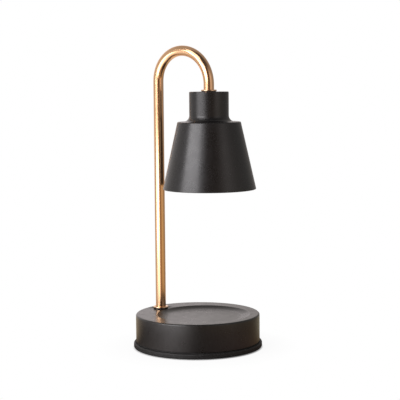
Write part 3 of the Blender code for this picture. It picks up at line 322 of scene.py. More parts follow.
class Nodes:
    """Short calls for the nodes of one material or world."""

    def __init__(self, tree):
        self.tree = tree

    def add(self, kind, **values):
        node = self.tree.nodes.new(kind)
        for name, value in values.items():
            setattr(node, name, value)
        return node

    def join(self, source, target):
        self.tree.links.new(source, target)

    def math(self, operation, first, second):
        node = self.add("ShaderNodeMath", operation=operation)
        self.join(first, node.inputs[0])
        self.join(second, node.inputs[1])
        return node.outputs[0]

    def place(self, kind="Object", scale=(1, 1, 1)):
        coordinates = self.add("ShaderNodeTexCoord")
        mapping = self.add("ShaderNodeMapping")
        mapping.inputs["Scale"].default_value = scale
        self.join(coordinates.outputs[kind], mapping.inputs["Vector"])
        return mapping.outputs["Vector"]

    def noise(self, place, scale, detail, roughness=0.55):
        node = self.add("ShaderNodeTexNoise")
        node.inputs["Scale"].default_value = scale
        node.inputs["Detail"].default_value = detail
        node.inputs["Roughness"].default_value = roughness
        self.join(place, node.inputs["Vector"])
        return node.outputs["Fac"]

    def spread(self, value, low, high, from_low=0.3, from_high=0.7):
        """The value, which runs from from_low to from_high, brought to the range low to high."""
        node = self.add("ShaderNodeMapRange")
        node.inputs["From Min"].default_value = from_low
        node.inputs["From Max"].default_value = from_high
        node.inputs["To Min"].default_value = low
        node.inputs["To Max"].default_value = high
        self.join(value, node.inputs["Value"])
        return node.outputs["Result"]

    def blend(self, factor, first, second):
        """A mix of two colours, each given as a tuple or as another node's output."""
        node = self.add("ShaderNodeMix", data_type="RGBA")
        for socket, value in (("Factor", factor), ("A", first), ("B", second)):
            if isinstance(value, tuple):
                node.inputs[socket].default_value = (*value, 1)
            else:
                self.join(value, node.inputs[socket])
        return node.outputs["Result"]

    def mix_shaders(self, factor, first, second):
        node = self.add("ShaderNodeMixShader")
        for socket, source in zip(node.inputs, (factor, first, second)):
            self.join(source, socket)
        return node.outputs[0]

    def bump(self, height, strength, distance, under=None):
        """A relief from the height, on top of the one under it where that is given."""
        node = self.add("ShaderNodeBump")
        node.inputs["Strength"].default_value = strength
        node.inputs["Distance"].default_value = distance
        self.join(height, node.inputs["Height"])
        if under is not None:
            self.join(under, node.inputs["Normal"])
        return node.outputs["Normal"]


def new_material(name):
    material = bpy.data.materials.new(name)
    material.use_nodes = True
    return material, material.node_tree.nodes["Principled BSDF"], Nodes(material.node_tree)


def paint(name, colour, worn, roughness, grain_scale, grain_depth, **values):
    """Sprayed or powdered paint: a fine grain, slow changes of gloss, and faint cloudy patches."""
    material, shader, nodes = new_material(name)
    place = nodes.place()
    patches = nodes.spread(nodes.noise(place, scale=35, detail=2), 0, 1)
    nodes.join(nodes.blend(patches, colour, worn), shader.inputs["Base Color"])
    wear = nodes.noise(place, scale=120, detail=4)
    gloss = nodes.spread(wear, roughness - 0.025, roughness + 0.035)
    nodes.join(gloss, shader.inputs["Roughness"])
    grain = nodes.noise(place, grain_scale, detail=2)
    relief = nodes.bump(grain, strength=0.35, distance=grain_depth)
    nodes.join(relief, shader.inputs["Normal"])
    for socket, value in values.items():
        shader.inputs[socket].default_value = value
    return material


def metal(name, colour, warm, roughness, scale, depth, kind="Object", stretch=(1, 1, 1)):
    """Plated or drawn metal: streaks along one way, with small changes of colour and gloss."""
    material, shader, nodes = new_material(name)
    place = nodes.place(kind, stretch)
    streaks = nodes.noise(place, scale, detail=4, roughness=0.6)
    clouds = nodes.noise(nodes.place(), scale=45, detail=2)
    nodes.join(nodes.blend(nodes.spread(clouds, 0, 1), colour, warm), shader.inputs["Base Color"])
    gloss = nodes.spread(streaks, roughness * 0.8, roughness * 1.25)
    nodes.join(gloss, shader.inputs["Roughness"])
    relief = nodes.bump(streaks, strength=0.25, distance=depth)
    nodes.join(relief, shader.inputs["Normal"])
    shader.inputs["Metallic"].default_value = 1.0
    return material


def moulded(name, colour, other, roughness, scale, depth):
    """Moulded plastic, rubber or ceramic: an even fine texture with slight changes of colour."""
    material, shader, nodes = new_material(name)
    place = nodes.place()
    tone = nodes.spread(nodes.noise(place, scale / 6, detail=3), 0, 1)
    nodes.join(nodes.blend(tone, colour, other), shader.inputs["Base Color"])
    pores = nodes.noise(place, scale, detail=5, roughness=0.65)
    gloss = nodes.spread(pores, roughness - 0.06, roughness + 0.06)
    nodes.join(gloss, shader.inputs["Roughness"])
    relief = nodes.bump(pores, strength=0.5, distance=depth)
    nodes.join(relief, shader.inputs["Normal"])
    return material


def cast(name, colour, other, roughness):
    """Sand-cast iron: coarse grains with darker pits."""
    material, shader, nodes = new_material(name)
    place = nodes.place()
    sand = nodes.noise(place, scale=700, detail=6, roughness=0.7)
    pits = nodes.add("ShaderNodeTexVoronoi", feature="F1")
    pits.inputs["Scale"].default_value = 420
    nodes.join(place, pits.inputs["Vector"])
    nodes.join(nodes.blend(nodes.spread(sand, 0, 1), colour, other), shader.inputs["Base Color"])
    gloss = nodes.spread(sand, roughness - 0.1, roughness + 0.1)
    nodes.join(gloss, shader.inputs["Roughness"])
    grains = nodes.bump(sand, strength=0.6, distance=0.00012)
    relief = nodes.bump(pits.outputs["Distance"], strength=0.3, distance=0.00010, under=grains)
    nodes.join(relief, shader.inputs["Normal"])
    shader.inputs["Metallic"].default_value = 0.5
    return material


def glass(name, roughness, ripple):
    """Clear glass with faint waves."""
    material, shader, nodes = new_material(name)
    place = nodes.place()
    waves = nodes.noise(place, ripple, detail=2)
    gloss = nodes.spread(waves, roughness * 0.7, roughness * 1.4)
    nodes.join(gloss, shader.inputs["Roughness"])
    relief = nodes.bump(waves, strength=0.15, distance=0.00002)
    nodes.join(relief, shader.inputs["Normal"])
    shader.inputs["Base Color"].default_value = (0.96, 0.97, 0.98, 1)
    shader.inputs["Transmission Weight"].default_value = 1.0
    shader.inputs["IOR"].default_value = 1.47
    return material


shade_black = paint(
    "shade_satin_black",
    (0.0088, 0.0082, 0.0084),
    (0.0120, 0.0110, 0.0112),
    roughness=0.275,
    grain_scale=2600,
    grain_depth=0.0000045,
    IOR=1.55,
)
drum_black = paint(
    "drum_satin_black",
    (0.0112, 0.0100, 0.0094),
    (0.0148, 0.0132, 0.0124),
    roughness=0.29,
    grain_scale=2600,
    grain_depth=0.0000045,
    IOR=1.55,
)
shade_white = paint(
    "shade_inside_white",
    (0.74, 0.73, 0.70),
    (0.80, 0.79, 0.76),
    roughness=0.48,
    grain_scale=2200,
    grain_depth=0.000010,
)
copper = metal(
    "copper_plate",
    (0.89, 0.54, 0.30),
    (0.92, 0.57, 0.33),
    roughness=0.17,
    scale=1.0,
    depth=0.000001,
    kind="UV",
    stretch=(60, 1.2, 1),
)
collar_copper = metal(
    "collar_copper_plate",
    (0.91, 0.62, 0.40),
    (0.93, 0.65, 0.43),
    roughness=0.18,
    scale=1.0,
    depth=0.000003,
    kind="UV",
    stretch=(2.0, 180, 1),
)
stamped_zinc = metal(
    "stamped_zinc",
    (0.58, 0.59, 0.61),
    (0.66, 0.66, 0.65),
    roughness=0.36,
    scale=500,
    depth=0.00001,
    stretch=(1, 9, 9),
)
zinc = metal("zinc_steel", (0.60, 0.61, 0.63), (0.68, 0.68, 0.66), 0.32, 1500, 0.00001)
brass = metal("brass", (0.76, 0.57, 0.25), (0.80, 0.62, 0.30), 0.28, 1300, 0.00001)
nickel = metal("pin_nickel", (0.66, 0.64, 0.60), (0.72, 0.70, 0.66), 0.2, 1600, 0.000005)
mirror = metal("reflector_silver", (0.80, 0.81, 0.83), (0.84, 0.84, 0.85), 0.09, 800, 0.000003)
tungsten = metal("tungsten", (0.36, 0.35, 0.34), (0.42, 0.41, 0.40), 0.35, 4000, 0.000004)
foot_black = moulded(
    "foot_moulded_black", (0.0075, 0.0072, 0.0070), (0.0125, 0.0120, 0.0115), 0.62, 1900, 0.00004
)
washer_black = moulded(
    "washer_black", (0.010, 0.009, 0.009), (0.016, 0.015, 0.014), 0.5, 2200, 0.00002
)
pad_foam = moulded("pad_foam", (0.018, 0.018, 0.018), (0.036, 0.035, 0.034), 0.92, 1400, 0.00018)
grommet_rubber = moulded(
    "grommet_rubber", (0.014, 0.014, 0.014), (0.024, 0.024, 0.023), 0.78, 2600, 0.00002
)
terminal_plastic = moulded(
    "terminal_plastic", (0.78, 0.78, 0.75), (0.84, 0.84, 0.82), 0.42, 900, 0.00002
)
nylon = moulded("bush_nylon", (0.70, 0.69, 0.64), (0.77, 0.76, 0.72), 0.48, 1200, 0.00001)
lead_brown = moulded("lead_brown", (0.16, 0.062, 0.026), (0.20, 0.080, 0.034), 0.42, 1500, 0.00001)
lead_blue = moulded("lead_blue", (0.026, 0.105, 0.38), (0.034, 0.13, 0.45), 0.42, 1500, 0.00001)
ceramic = moulded("holder_ceramic", (0.76, 0.74, 0.69), (0.83, 0.82, 0.78), 0.5, 1600, 0.00003)
bulb_ceramic = moulded("bulb_ceramic", (0.80, 0.79, 0.76), (0.86, 0.85, 0.82), 0.42, 1600, 0.00002)
iron = cast("cast_iron", (0.055, 0.052, 0.050), (0.11, 0.10, 0.095), 0.7)
front_glass = glass("front_glass", 0.05, 260)
capsule_glass = glass("capsule_glass", 0.02, 200)


# Shapes


def corner_arc(before, corner, after, radius):
    """Points of the round that replaces a corner, with one more on each straight beside it."""
    back = before - corner
    ahead = after - corner
    half = back.angle(ahead) / 2
    reach = min(radius / math.tan(half), ROUND_LIMIT * min(back.length, ahead.length))
    middle_way = (back.normalized() + ahead.normalized()).normalized()
    centre = corner + middle_way * reach / math.cos(half)
    start = corner + back.normalized() * reach - centre
    end = corner + ahead.normalized() * reach - centre
    sweep = math.atan2(start.x * end.y - start.y * end.x, start.dot(end))
    steps = max(2, round(abs(sweep) / ARC_STEP))
    points = []
    if back.length - reach > 3 * SUPPORT:
        points.append(centre + start + back.normalized() * SUPPORT)
    for step in range(steps + 1):
        turn = sweep * step / steps
        across = start.x * math.cos(turn) - start.y * math.sin(turn)
        up = start.x * math.sin(turn) + start.y * math.cos(turn)
        points.append(centre + Vector((across, up)))
    if ahead.length - reach > 3 * SUPPORT:
        points.append(centre + end + ahead.normalized() * SUPPORT)
    return points


def rounded(corners, closed=False):
    """An outline from corners of (across, up, round radius)."""
    points = []
    places = [Vector(corner[:2]) for corner in corners]
    for index, (_, _, radius) in enumerate(corners):
        is_end = not closed and index in (0, len(corners) - 1)
        if is_end or radius == 0:
            points.append(places[index])
            continue
        after = places[(index + 1) % len(places)]
        points.extend(corner_arc(places[index - 1], places[index], after, radius))
    return points


def inward(points, distance):
    """The open outline moved sideways, to its right as it is drawn."""
    moved = []
    for index, point in enumerate(points):
        before = points[max(index - 1, 0)]
        after = points[min(index + 1, len(points) - 1)]
        way = (after - before).normalized()
        moved.append(point + Vector((way.y, -way.x)) * distance)
    return moved


def smoothed(mesh, sharp=SHARP):
    mesh.shade_smooth()
    mesh.set_sharp_from_angle(angle=sharp)


def placed(name, shape):
    """The bmesh as an object in the scene, with its faces pointing out."""
    bmesh.ops.remove_doubles(shape, verts=shape.verts, dist=MERGE)
    bmesh.ops.recalc_face_normals(shape, faces=shape.faces)
    mesh = bpy.data.meshes.new(name)
    shape.to_mesh(mesh)
    shape.free()
    made = bpy.data.objects.new(name, mesh)
    bpy.context.scene.collection.objects.link(made)
    return made


def shown(name, shape, material, sharp=SHARP):
    """The bmesh as a piece of the material, shaded smooth up to the sharp angle."""
    made = placed(name, shape)
    smoothed(made.data, sharp)
    made.data.materials.append(material)
    return made


def cut(piece, shape, use_self=False):
    """Takes the closed shape out of the piece for good."""
    cutter = placed("cutter", shape)
    change = piece.modifiers.new("cut", "BOOLEAN")
    change.operation = "DIFFERENCE"
    change.solver = "EXACT"
    change.use_self = use_self
    change.object = cutter
    graph = bpy.context.evaluated_depsgraph_get()
    mesh = bpy.data.meshes.new_from_object(piece.evaluated_get(graph))
    piece.modifiers.clear()
    piece.data = mesh
    bpy.data.objects.remove(cutter)
    smoothed(mesh)


def circle(shape, centre_x, radius, height, sides, shift=0):
    """A level ring of new points round (centre_x, 0), turned on by shift sides."""
    ring = []
    for side in range(sides):
        turn = 2 * math.pi * (side + shift) / sides
        place = (centre_x + radius * math.cos(turn), radius * math.sin(turn), height)
        ring.append(shape.verts.new(place))
    return ring


def bridge(shape, lower, upper, gap=()):
    """New faces between two rings of points, apart from the sides in the gap."""
    faces = []
    for side in range(len(lower)):
        if side not in gap:
            after = (side + 1) % len(lower)
            around = (lower[side], lower[after], upper[after], upper[side])
            faces.append(shape.faces.new(around))
    return faces


def lathe(outline, sides, centre=(0, 0), closed=True, shape=None):
    """A grid turned about a vertical axis, with U round it in turns and V along it in metres."""
    shape = shape or bmesh.new()
    layer = shape.loops.layers.uv.verify()
    along = [0.0]
    for before, after in zip(outline, outline[1:]):
        along.append(along[-1] + (after - before).length)
    columns = []
    for side in range(sides):
        turn = 2 * math.pi * side / sides
        column = []
        for point in outline:
            x = centre[0] + point.x * math.cos(turn)
            y = centre[1] + point.x * math.sin(turn)
            column.append(shape.verts.new((x, y, point.y)))
        columns.append(column)
    spans = list(range(len(outline) - 1))
    if closed:
        spans.append(len(outline) - 1)
    for side in range(sides):
        here, there = columns[side], columns[(side + 1) % sides]
        for low in spans:
            high = (low + 1) % len(outline)
            face = shape.faces.new((here[low], there[low], there[high], here[high]))
            end = along[high] if high else along[-1] + (outline[0] - outline[-1]).length
            corners = ((side, along[low]), (side + 1, along[low]), (side + 1, end), (side, end))
            for loop, (turn, length) in zip(face.loops, corners):
                loop[layer].uv = (turn / sides, length)
    return shape


def dress(piece, body, slot, *nodes):
    """The piece rides with the body and stands for the CAD nodes."""
    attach(piece, body)
    if nodes:
        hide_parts(*nodes)


def make_shade():
    """The spun skin: hole, neck, fillet, ledge and cone, a round rim, and white inside."""
    low = SHADE_TOP - SHADE_HEIGHT
    outer = rounded(
        [
            (HOLE_RADIUS, SHADE_TOP, 0),
            (NECK_RADIUS, SHADE_TOP, NECK_EDGE),
            (NECK_RADIUS, SHADE_TOP - NECK_HEIGHT, NECK_FILLET),
            (NECK_RADIUS + LEDGE_WIDTH, SHADE_TOP - NECK_HEIGHT - LEDGE_FALL, LEDGE_EDGE),
            (NECK_RADIUS + LEDGE_WIDTH + CONE_SPREAD, low, 0),
        ]
    )
    way = (outer[-1] - outer[-2]).normalized()
    outer[-1] = outer[-1] - way * SHADE_SHEET / 2
    inner = inward(outer, SHADE_SHEET)
    middle = (outer[-1] + inner[-1]) / 2
    arm = outer[-1] - middle
    rim = []
    for step in range(1, RIM_STEPS):
        turn = -math.pi * step / RIM_STEPS
        across = arm.x * math.cos(turn) - arm.y * math.sin(turn)
        up = arm.x * math.sin(turn) + arm.y * math.cos(turn)
        rim.append(middle + Vector((across, up)))
    outline = outer + rim + inner[::-1]
    shade = shown("fine_shade", lathe(outline, ROUND_SIDES, (SHADE_X, 0)), shade_black)
    shade.data.materials.append(shade_white)
    for face in shade.data.polygons:
        centre = face.center
        away = Vector((centre.x - SHADE_X, centre.y, 0))
        is_wall = face.normal.dot(away) < -FACING_IN
        is_ceiling = face.normal.z < -FACING_DOWN and centre.z > low + RIM_BAND
        if is_wall or is_ceiling:
            face.material_index = 1
    dress(shade, "lamp", "shade_paint", "shade")


def make_drum():
    """The pressed drum: wall with the cord's inlet, round edge, flat top, tube's hole and tray."""
    rows = [DRUM_BOTTOM, DRUM_BOTTOM + SUPPORT, CORD_Z - INLET_HALF, CORD_Z + INLET_HALF]
    inlet_row = rows.index(CORD_Z - INLET_HALF)
    rings = [(0, DRUM_RADIUS, height) for height in rows]
    for step in range(DRUM_EDGE_STEPS + 1):
        turn = QUARTER * step / DRUM_EDGE_STEPS
        radius = DRUM_RADIUS - DRUM_EDGE + DRUM_EDGE * math.cos(turn)
        rings.append((0, radius, BASE_TOP - DRUM_EDGE + DRUM_EDGE * math.sin(turn)))
    rings.append((0, DRUM_RADIUS - DRUM_EDGE - SUPPORT, BASE_TOP))
    edge_count = len(rings)
    rings.append((TRAY_X, TRAY_RADIUS + SUPPORT, BASE_TOP))
    for step in range(TRAY_STEPS + 1):
        share = step / TRAY_STEPS
        if share < TRAY_EDGE_SHARE:
            fall = share * share / TRAY_EDGE_SHARE
        else:
            fall = 1 - (1 - share) ** 2 / (1 - TRAY_EDGE_SHARE)
        rings.append((TRAY_X, TRAY_RADIUS - TRAY_SLOPE * share, BASE_TOP - TRAY_DEPTH * fall))
    rings.append((TRAY_X, TRAY_RADIUS - TRAY_SLOPE - SUPPORT, BASE_TOP - TRAY_DEPTH))
    shape = bmesh.new()
    loops = [circle(shape, *ring, ROUND_SIDES) for ring in rings]
    middle = ROUND_SIDES // 2
    inlet = range(middle - INLET_SIDES, middle + INLET_SIDES)
    for index, (lower, upper) in enumerate(zip(loops, loops[1:])):
        if index + 1 != edge_count:
            bridge(shape, lower, upper, gap=inlet if index == inlet_row else ())
    shape.faces.new(loops[-1])
    hole = circle(shape, POLE_X, HOLE_RADIUS, BASE_TOP, SMALL_SIDES)
    edges = []
    for loop in (loops[edge_count - 1], loops[edge_count], hole):
        for here, there in zip(loop, loop[1:] + loop[:1]):
            edges.append(shape.edges.get((here, there)) or shape.edges.new((here, there)))
    bmesh.ops.triangle_fill(shape, use_beauty=True, edges=edges)
    drum = shown("fine_drum", shape, drum_black)
    sheet = drum.modifiers.new("sheet", "SOLIDIFY")
    sheet.thickness = DRUM_SHEET
    sheet.offset = -1
    sheet.use_even_offset = True
    dress(drum, "lamp", "drum_paint", "base_shell")


def make_foot():
    """The moulded foot ring, with lip, groove, spigot, pocket and screw wells, and its pad."""
    corners = [
        (PLATE_INSIDE, PLATE_FLOOR, 0),
        (SPIGOT_INSIDE, PLATE_FLOOR, 0),
        (SPIGOT_INSIDE, SPIGOT_TOP, 0),
        (SPIGOT_RADIUS, SPIGOT_TOP, 0.0005),
        (SPIGOT_RADIUS, GROOVE_TOP, 0),
        (GROOVE_RADIUS, GROOVE_TOP, 0),
        (GROOVE_RADIUS, LIP_TOP, 0),
        (PLATE_RADIUS, LIP_TOP, 0.0014),
        (PLATE_RADIUS, LIP_BOTTOM, 0.0011),
        (POCKET_RADIUS, LIP_BOTTOM, 0.00025),
        (POCKET_RADIUS, POCKET_TOP, 0),
        (PLATE_INSIDE, POCKET_TOP, 0),
    ]
    foot = shown("fine_foot", lathe(rounded(corners, closed=True), ROUND_SIDES), foot_black)
    well = [(0, WELL_BOTTOM), (WELL_RADIUS, WELL_BOTTOM), (WELL_RADIUS, WELL_TOP), (0, WELL_TOP)]
    outline = [Vector(point) for point in well]
    wells = bmesh.new()
    for turn_deg in POST_TURNS:
        turn = math.radians(turn_deg)
        place = (POST_CIRCLE * math.cos(turn), POST_CIRCLE * math.sin(turn))
        lathe(outline, WELL_SIDES, place, closed=False, shape=wells)
    cut(foot, wells)
    dress(foot, "lamp", "foot_plastic", "bottom_plate")
    corners = [(0, PAD_TOP, 0), (PAD_RADIUS, PAD_TOP, 0.0003), (PAD_RADIUS, 0, 0.0004), (0, 0, 0)]
    pad = shown("fine_pad", lathe(rounded(corners), DISC_SIDES, closed=False), pad_foam)
    dress(pad, "lamp", "pad_foam", "foot_pad")


def make_tube():
    """A pipe swept along the upright, the two bends and the drop."""
    low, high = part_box("lamp_tube")
    arch_x = POLE_X + REAR_BEND
    arch_z = high.z - TUBE_RADIUS
    route = [(POLE_X, low.z, 0.0), (POLE_X, arch_z - REAR_BEND, 0.0)]
    for step in range(1, BEND_STEPS + 1):
        turn = QUARTER * step / BEND_STEPS
        x = POLE_X + REAR_BEND * (1 - math.cos(turn))
        route.append((x, arch_z - REAR_BEND + REAR_BEND * math.sin(turn), turn))
    for step in range(1, BEND_STEPS + 1):
        turn = QUARTER * step / BEND_STEPS
        x = arch_x + FRONT_BEND * math.sin(turn)
        route.append((x, arch_z - FRONT_BEND + FRONT_BEND * math.cos(turn), QUARTER + turn))
    route.append((SHADE_X, TUBE_TIP, math.radians(180)))
    shape = bmesh.new()
    layer = shape.loops.layers.uv.verify()
    skins = []
    for radius in (TUBE_RADIUS, TUBE_RADIUS - TUBE_WALL):
        rings = []
        length = 0.0
        for index, (x, z, turn) in enumerate(route):
            if index:
                length += math.dist((x, z), route[index - 1][:2])
            ring = []
            for side in range(TUBE_SIDES):
                angle = 2 * math.pi * side / TUBE_SIDES
                out, across = radius * math.cos(angle), radius * math.sin(angle)
                place = (x + out * math.cos(turn), across, z - out * math.sin(turn))
                ring.append(shape.verts.new(place))
            rings.append((ring, length))
        skins.append(rings)
    for rings in skins:
        for (lower, start), (upper, end) in zip(rings, rings[1:]):
            for side, face in enumerate(bridge(shape, lower, upper)):
                corners = ((side, start), (side + 1, start), (side + 1, end), (side, end))
                for loop, (turn, length) in zip(face.loops, corners):
                    loop[layer].uv = (turn / TUBE_SIDES, length)
    for end in (0, -1):
        bridge(shape, skins[0][end][0], skins[1][end][0])
    dress(shown("fine_tube", shape, copper), "lamp", "copper_plate", "lamp_tube")


def make_collar(name, node, bottom, place):
    """A low collar: a rounded lip, and a small groove where it meets the tube."""
    corners = [(HOLE_RADIUS + out, bottom + up, radius) for out, up, radius in COLLAR_PROFILE]
    outline = rounded(corners, closed=True)
    collar = shown(name, lathe(outline, DISC_SIDES, place), collar_copper)
    dress(collar, "lamp", "copper_plate", node)


def make_washer(name, node, bottom, top):
    """A thin washer, pressed flat between a collar and the sheet under it."""
    low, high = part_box(node)
    centre = (low + high) / 2
    outside = (high.x - low.x) / 2
    corners = [
        (HOLE_RADIUS, bottom, 0),
        (HOLE_RADIUS, top, 0),
        (outside, top, WASHER_ROUND),
        (outside, bottom, WASHER_ROUND),
    ]
    outline = rounded(corners, closed=True)
    washer = shown(name, lathe(outline, DISC_SIDES, (centre.x, centre.y)), washer_black)
    dress(washer, "lamp", "washer_black", node)


def make_grommet():
    """The rubber inlet: a flange outside the drum's wall, a neck through it, a flange inside."""
    corners = [
        (CORD_BORE, GROMMET_FACE, 0.0005),
        (GROMMET_RADIUS, GROMMET_FACE, 0.0006),
        (GROMMET_RADIUS, GROMMET_SEAT, 0.0002),
        (GROMMET_NECK, GROMMET_SEAT, 0),
        (GROMMET_NECK, GROMMET_INNER_SEAT, 0),
        (GROMMET_RADIUS, GROMMET_INNER_SEAT, 0.0002),
        (GROMMET_RADIUS, GROMMET_END, 0.0004),
        (CORD_BORE, GROMMET_END, 0.0004),
    ]
    shape = lathe(rounded(corners, closed=True), SMALL_SIDES)
    for point in shape.verts:
        x, y, z = point.co
        point.co = (z - DRUM_RADIUS, y, CORD_Z + x)
    dress(shown("fine_grommet", shape, grommet_rubber), "lamp", "grommet_rubber", "cord_grommet")


def cross_recess(head_low):
    """Two crossed tapering bars that cut a screwdriver's cross into a head from below."""
    shape = bmesh.new()
    levels = (
        (head_low - CROSS_OVERRUN, 1.0),
        (head_low, 1.0),
        (head_low + CROSS_DEPTH, CROSS_TAPER),
    )
    for along_x in (True, False):
        rims = []
        for height, share in levels:
            half_x, half_y = CROSS_REACH * share, CROSS_WIDTH * share
            if not along_x:
                half_x, half_y = half_y, half_x
            corners = ((-1, -1), (1, -1), (1, 1), (-1, 1))
            rims.append([shape.verts.new((x * half_x, y * half_y, height)) for x, y in corners])
        for lower, upper in zip(rims, rims[1:]):
            bridge(shape, lower, upper)
        shape.faces.new(rims[0][::-1])
        shape.faces.new(rims[-1])
    return shape


def make_screw(name, node):
    """A pan-head screw that points up: domed head with a cross in it, and a ridged shank."""
    low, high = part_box(node)
    centre = (low + high) / 2
    head = (high.x - low.x) / 2
    seat = low.z + HEAD_HEIGHT
    corners = [(0, high.z, 0), (SHANK_TIP, high.z, 0.0002)]
    z = high.z - RIDGE_START
    while z > seat + RIDGE_END:
        corners += [(SHANK_RADIUS, z, 0), (SHANK_ROOT, z - RIDGE_PITCH / 2, 0)]
        z -= RIDGE_PITCH
    corners += [
        (SHANK_RADIUS, seat, 0),
        (head, seat, 0.0001),
        (head, low.z + HEAD_SIDE, 0.0004),
        (head * HEAD_DOME[0], low.z + HEAD_DOME[1], 0.0009),
        (0, low.z, 0),
    ]
    screw = shown(name, lathe(rounded(corners), SCREW_SIDES, closed=False), zinc)
    cut(screw, cross_recess(low.z), use_self=True)
    screw.location = (centre.x, centre.y, 0)
    dress(screw, "lamp", "zinc_steel", node)


def stadium(half_length, half_width):
    """Points round a shape with straight long sides and round ends."""
    points = []
    for end in (1, -1):
        for step in range(STADIUM_STEPS + 1):
            turn = math.pi * step / STADIUM_STEPS
            across = end * half_width * math.cos(turn)
            along = end * (half_length - half_width + half_width * math.sin(turn))
            points.append(Vector((across, along)))
    return points


def make_bulb_base():
    """The ceramic foot, with its long edges taken off above and below."""
    low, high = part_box("bulb_base")
    half_long, half_wide = (high.y - low.y) / 2, (high.x - low.x) / 2
    levels = [(low.z + up, inset) for up, inset in BASE_EDGE_PROFILE]
    levels += [(high.z - down, inset) for down, inset in BASE_EDGE_PROFILE[::-1]]
    shape = bmesh.new()
    rings = []
    for height, inset in levels:
        rim = stadium(half_long - inset, half_wide - inset)
        rings.append([shape.verts.new((SHADE_X + x, y, height)) for x, y in rim])
    for lower, upper in zip(rings, rings[1:]):
        bridge(shape, lower, upper)
    shape.faces.new(rings[0][::-1])
    shape.faces.new(rings[-1])
    dress(shown("fine_bulb_base", shape, bulb_ceramic), "bulb", "white_ceramic", "bulb_base")


def make_bulb_pin(node):
    """A headed pin that turns under the holder's slot."""
    low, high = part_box(node)
    centre = (low + high) / 2
    neck = HOLDER_FACE + PIN_NECK
    corners = [
        (0, high.z, 0),
        (PIN_HEAD_RADIUS, high.z, 0.0004),
        (PIN_HEAD_RADIUS, neck, 0.00015),
        (PIN_RADIUS, neck, 0),
        (PIN_RADIUS, low.z, 0),
        (0, low.z, 0),
    ]
    pin = lathe(rounded(corners), PIN_SIDES, (centre.x, centre.y), closed=False)
    dress(shown(f"fine_{node}", pin, nickel), "bulb", "zinc_steel", node)


def make_reflector():
    """The bowl: smooth outside, silvered facets inside."""
    depth = BULB_TOP - BULB_FACE - BULB_RIM
    outer = [Vector((BULB_HOLE, BULB_TOP))]
    for step in range(BOWL_STEPS + 1):
        turn = QUARTER * step / BOWL_STEPS
        radius = BULB_SHOULDER + (BULB_RADIUS - BULB_SHOULDER) * math.sin(turn)
        outer.append(Vector((radius, BULB_TOP - depth * (1 - math.cos(turn)))))
    inside = BULB_RADIUS - BULB_WALL
    outer.append(Vector((BULB_RADIUS, BULB_FACE + BULB_LIP_UP)))
    outer.append(Vector((BULB_RADIUS - BULB_LIP_IN, BULB_FACE)))
    outer.append(Vector((inside, BULB_FACE)))
    outer.append(Vector((inside, BULB_FACE + BULB_RIM)))
    shell = lathe(outer, BOWL_SIDES, (SHADE_X, 0), closed=False)
    rings = []
    for row in range(FACET_ROWS + 1):
        turn = QUARTER * row / FACET_ROWS
        radius = BULB_HOLE + (inside - BULB_HOLE) * math.sin(turn)
        top = BULB_TOP - BULB_WALL if row else BULB_TOP
        height = top - (depth - FACET_LIFT) * (1 - math.cos(turn))
        shift = 0.5 * (row % 2)
        rings.append(circle(shell, SHADE_X, radius, height, FACET_COLUMNS, shift))
    for row, (upper, lower) in enumerate(zip(rings, rings[1:])):
        for column in range(FACET_COLUMNS):
            after = (column + 1) % FACET_COLUMNS
            if row % 2:
                shell.faces.new((upper[column], lower[after], lower[column]))
                shell.faces.new((upper[column], upper[after], lower[after]))
            else:
                shell.faces.new((upper[column], lower[column], upper[after]))
                shell.faces.new((upper[after], lower[column], lower[after]))
    bowl = shown("fine_bulb_bowl", shell, mirror, FACET_SHARP)
    dress(bowl, "bulb", "reflector_mirror", "bulb_reflector")


def make_bulb_glass():
    """The front glass and the capsule with its drawn tip."""
    low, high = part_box("bulb_front_glass")
    radius = (high.x - low.x) / 2
    corners = [(0, high.z, 0), (radius, high.z, 0.0003), (radius, low.z, 0.0004), (0, low.z, 0)]
    disc = lathe(rounded(corners), DISC_SIDES, (SHADE_X, 0), closed=False)
    disc = shown("fine_front_glass", disc, front_glass)
    dress(disc, "bulb", "clear_glass", "bulb_front_glass")

    low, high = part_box("bulb_capsule")
    radius = (high.x - low.x) / 2
    corners = [
        (0, high.z, 0),
        (radius, high.z, 0.0004),
        (radius, low.z + CAPSULE_SHOULDER, 0.0034),
        (CAPSULE_TIP_RADIUS, low.z + CAPSULE_TIP_HEIGHT, 0.0006),
        (CAPSULE_END_RADIUS, low.z, 0.0003),
        (0, low.z, 0),
    ]
    capsule = lathe(rounded(corners), CAPSULE_SIDES, (SHADE_X, 0), closed=False)
    capsule = shown("fine_capsule", capsule, capsule_glass)
    dress(capsule, "bulb", "clear_glass", "bulb_capsule")


def make_filament():
    """A coil across the capsule, on two legs."""
    low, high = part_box("bulb_capsule")
    coil = []
    for step in range(COIL_TURNS * COIL_STEPS + 1):
        angle = 2 * math.pi * step / COIL_STEPS
        along = COIL_SPAN * (step / (COIL_TURNS * COIL_STEPS) - 0.5)
        x = SHADE_X + COIL_RADIUS * math.cos(angle)
        coil.append((x, along, low.z + COIL_RISE + COIL_RADIUS * math.sin(angle)))
    routes = [coil]
    for side in (-1, 1):
        start = (SHADE_X, side * COIL_SPAN / 2, low.z + COIL_RISE + LEG_RISE)
        bend = (SHADE_X, side * LEG_BEND[0], low.z + LEG_BEND[1])
        end = (SHADE_X, side * LEG_END[0], high.z - LEG_END[1])
        routes.append([start, bend, end])
    curve = bpy.data.curves.new("bulb_filament", "CURVE")
    curve.dimensions = "3D"
    curve.bevel_depth = WIRE_RADIUS
    curve.bevel_resolution = 2
    for route in routes:
        spline = curve.splines.new("POLY")
        spline.points.add(len(route) - 1)
        for point, place in zip(spline.points, route):
            point.co = (*place, 1)
    curve.materials.append(tungsten)
    filament = bpy.data.objects.new("bulb_filament", curve)
    bpy.context.scene.collection.objects.link(filament)
    dress(filament, "bulb", "zinc_steel")


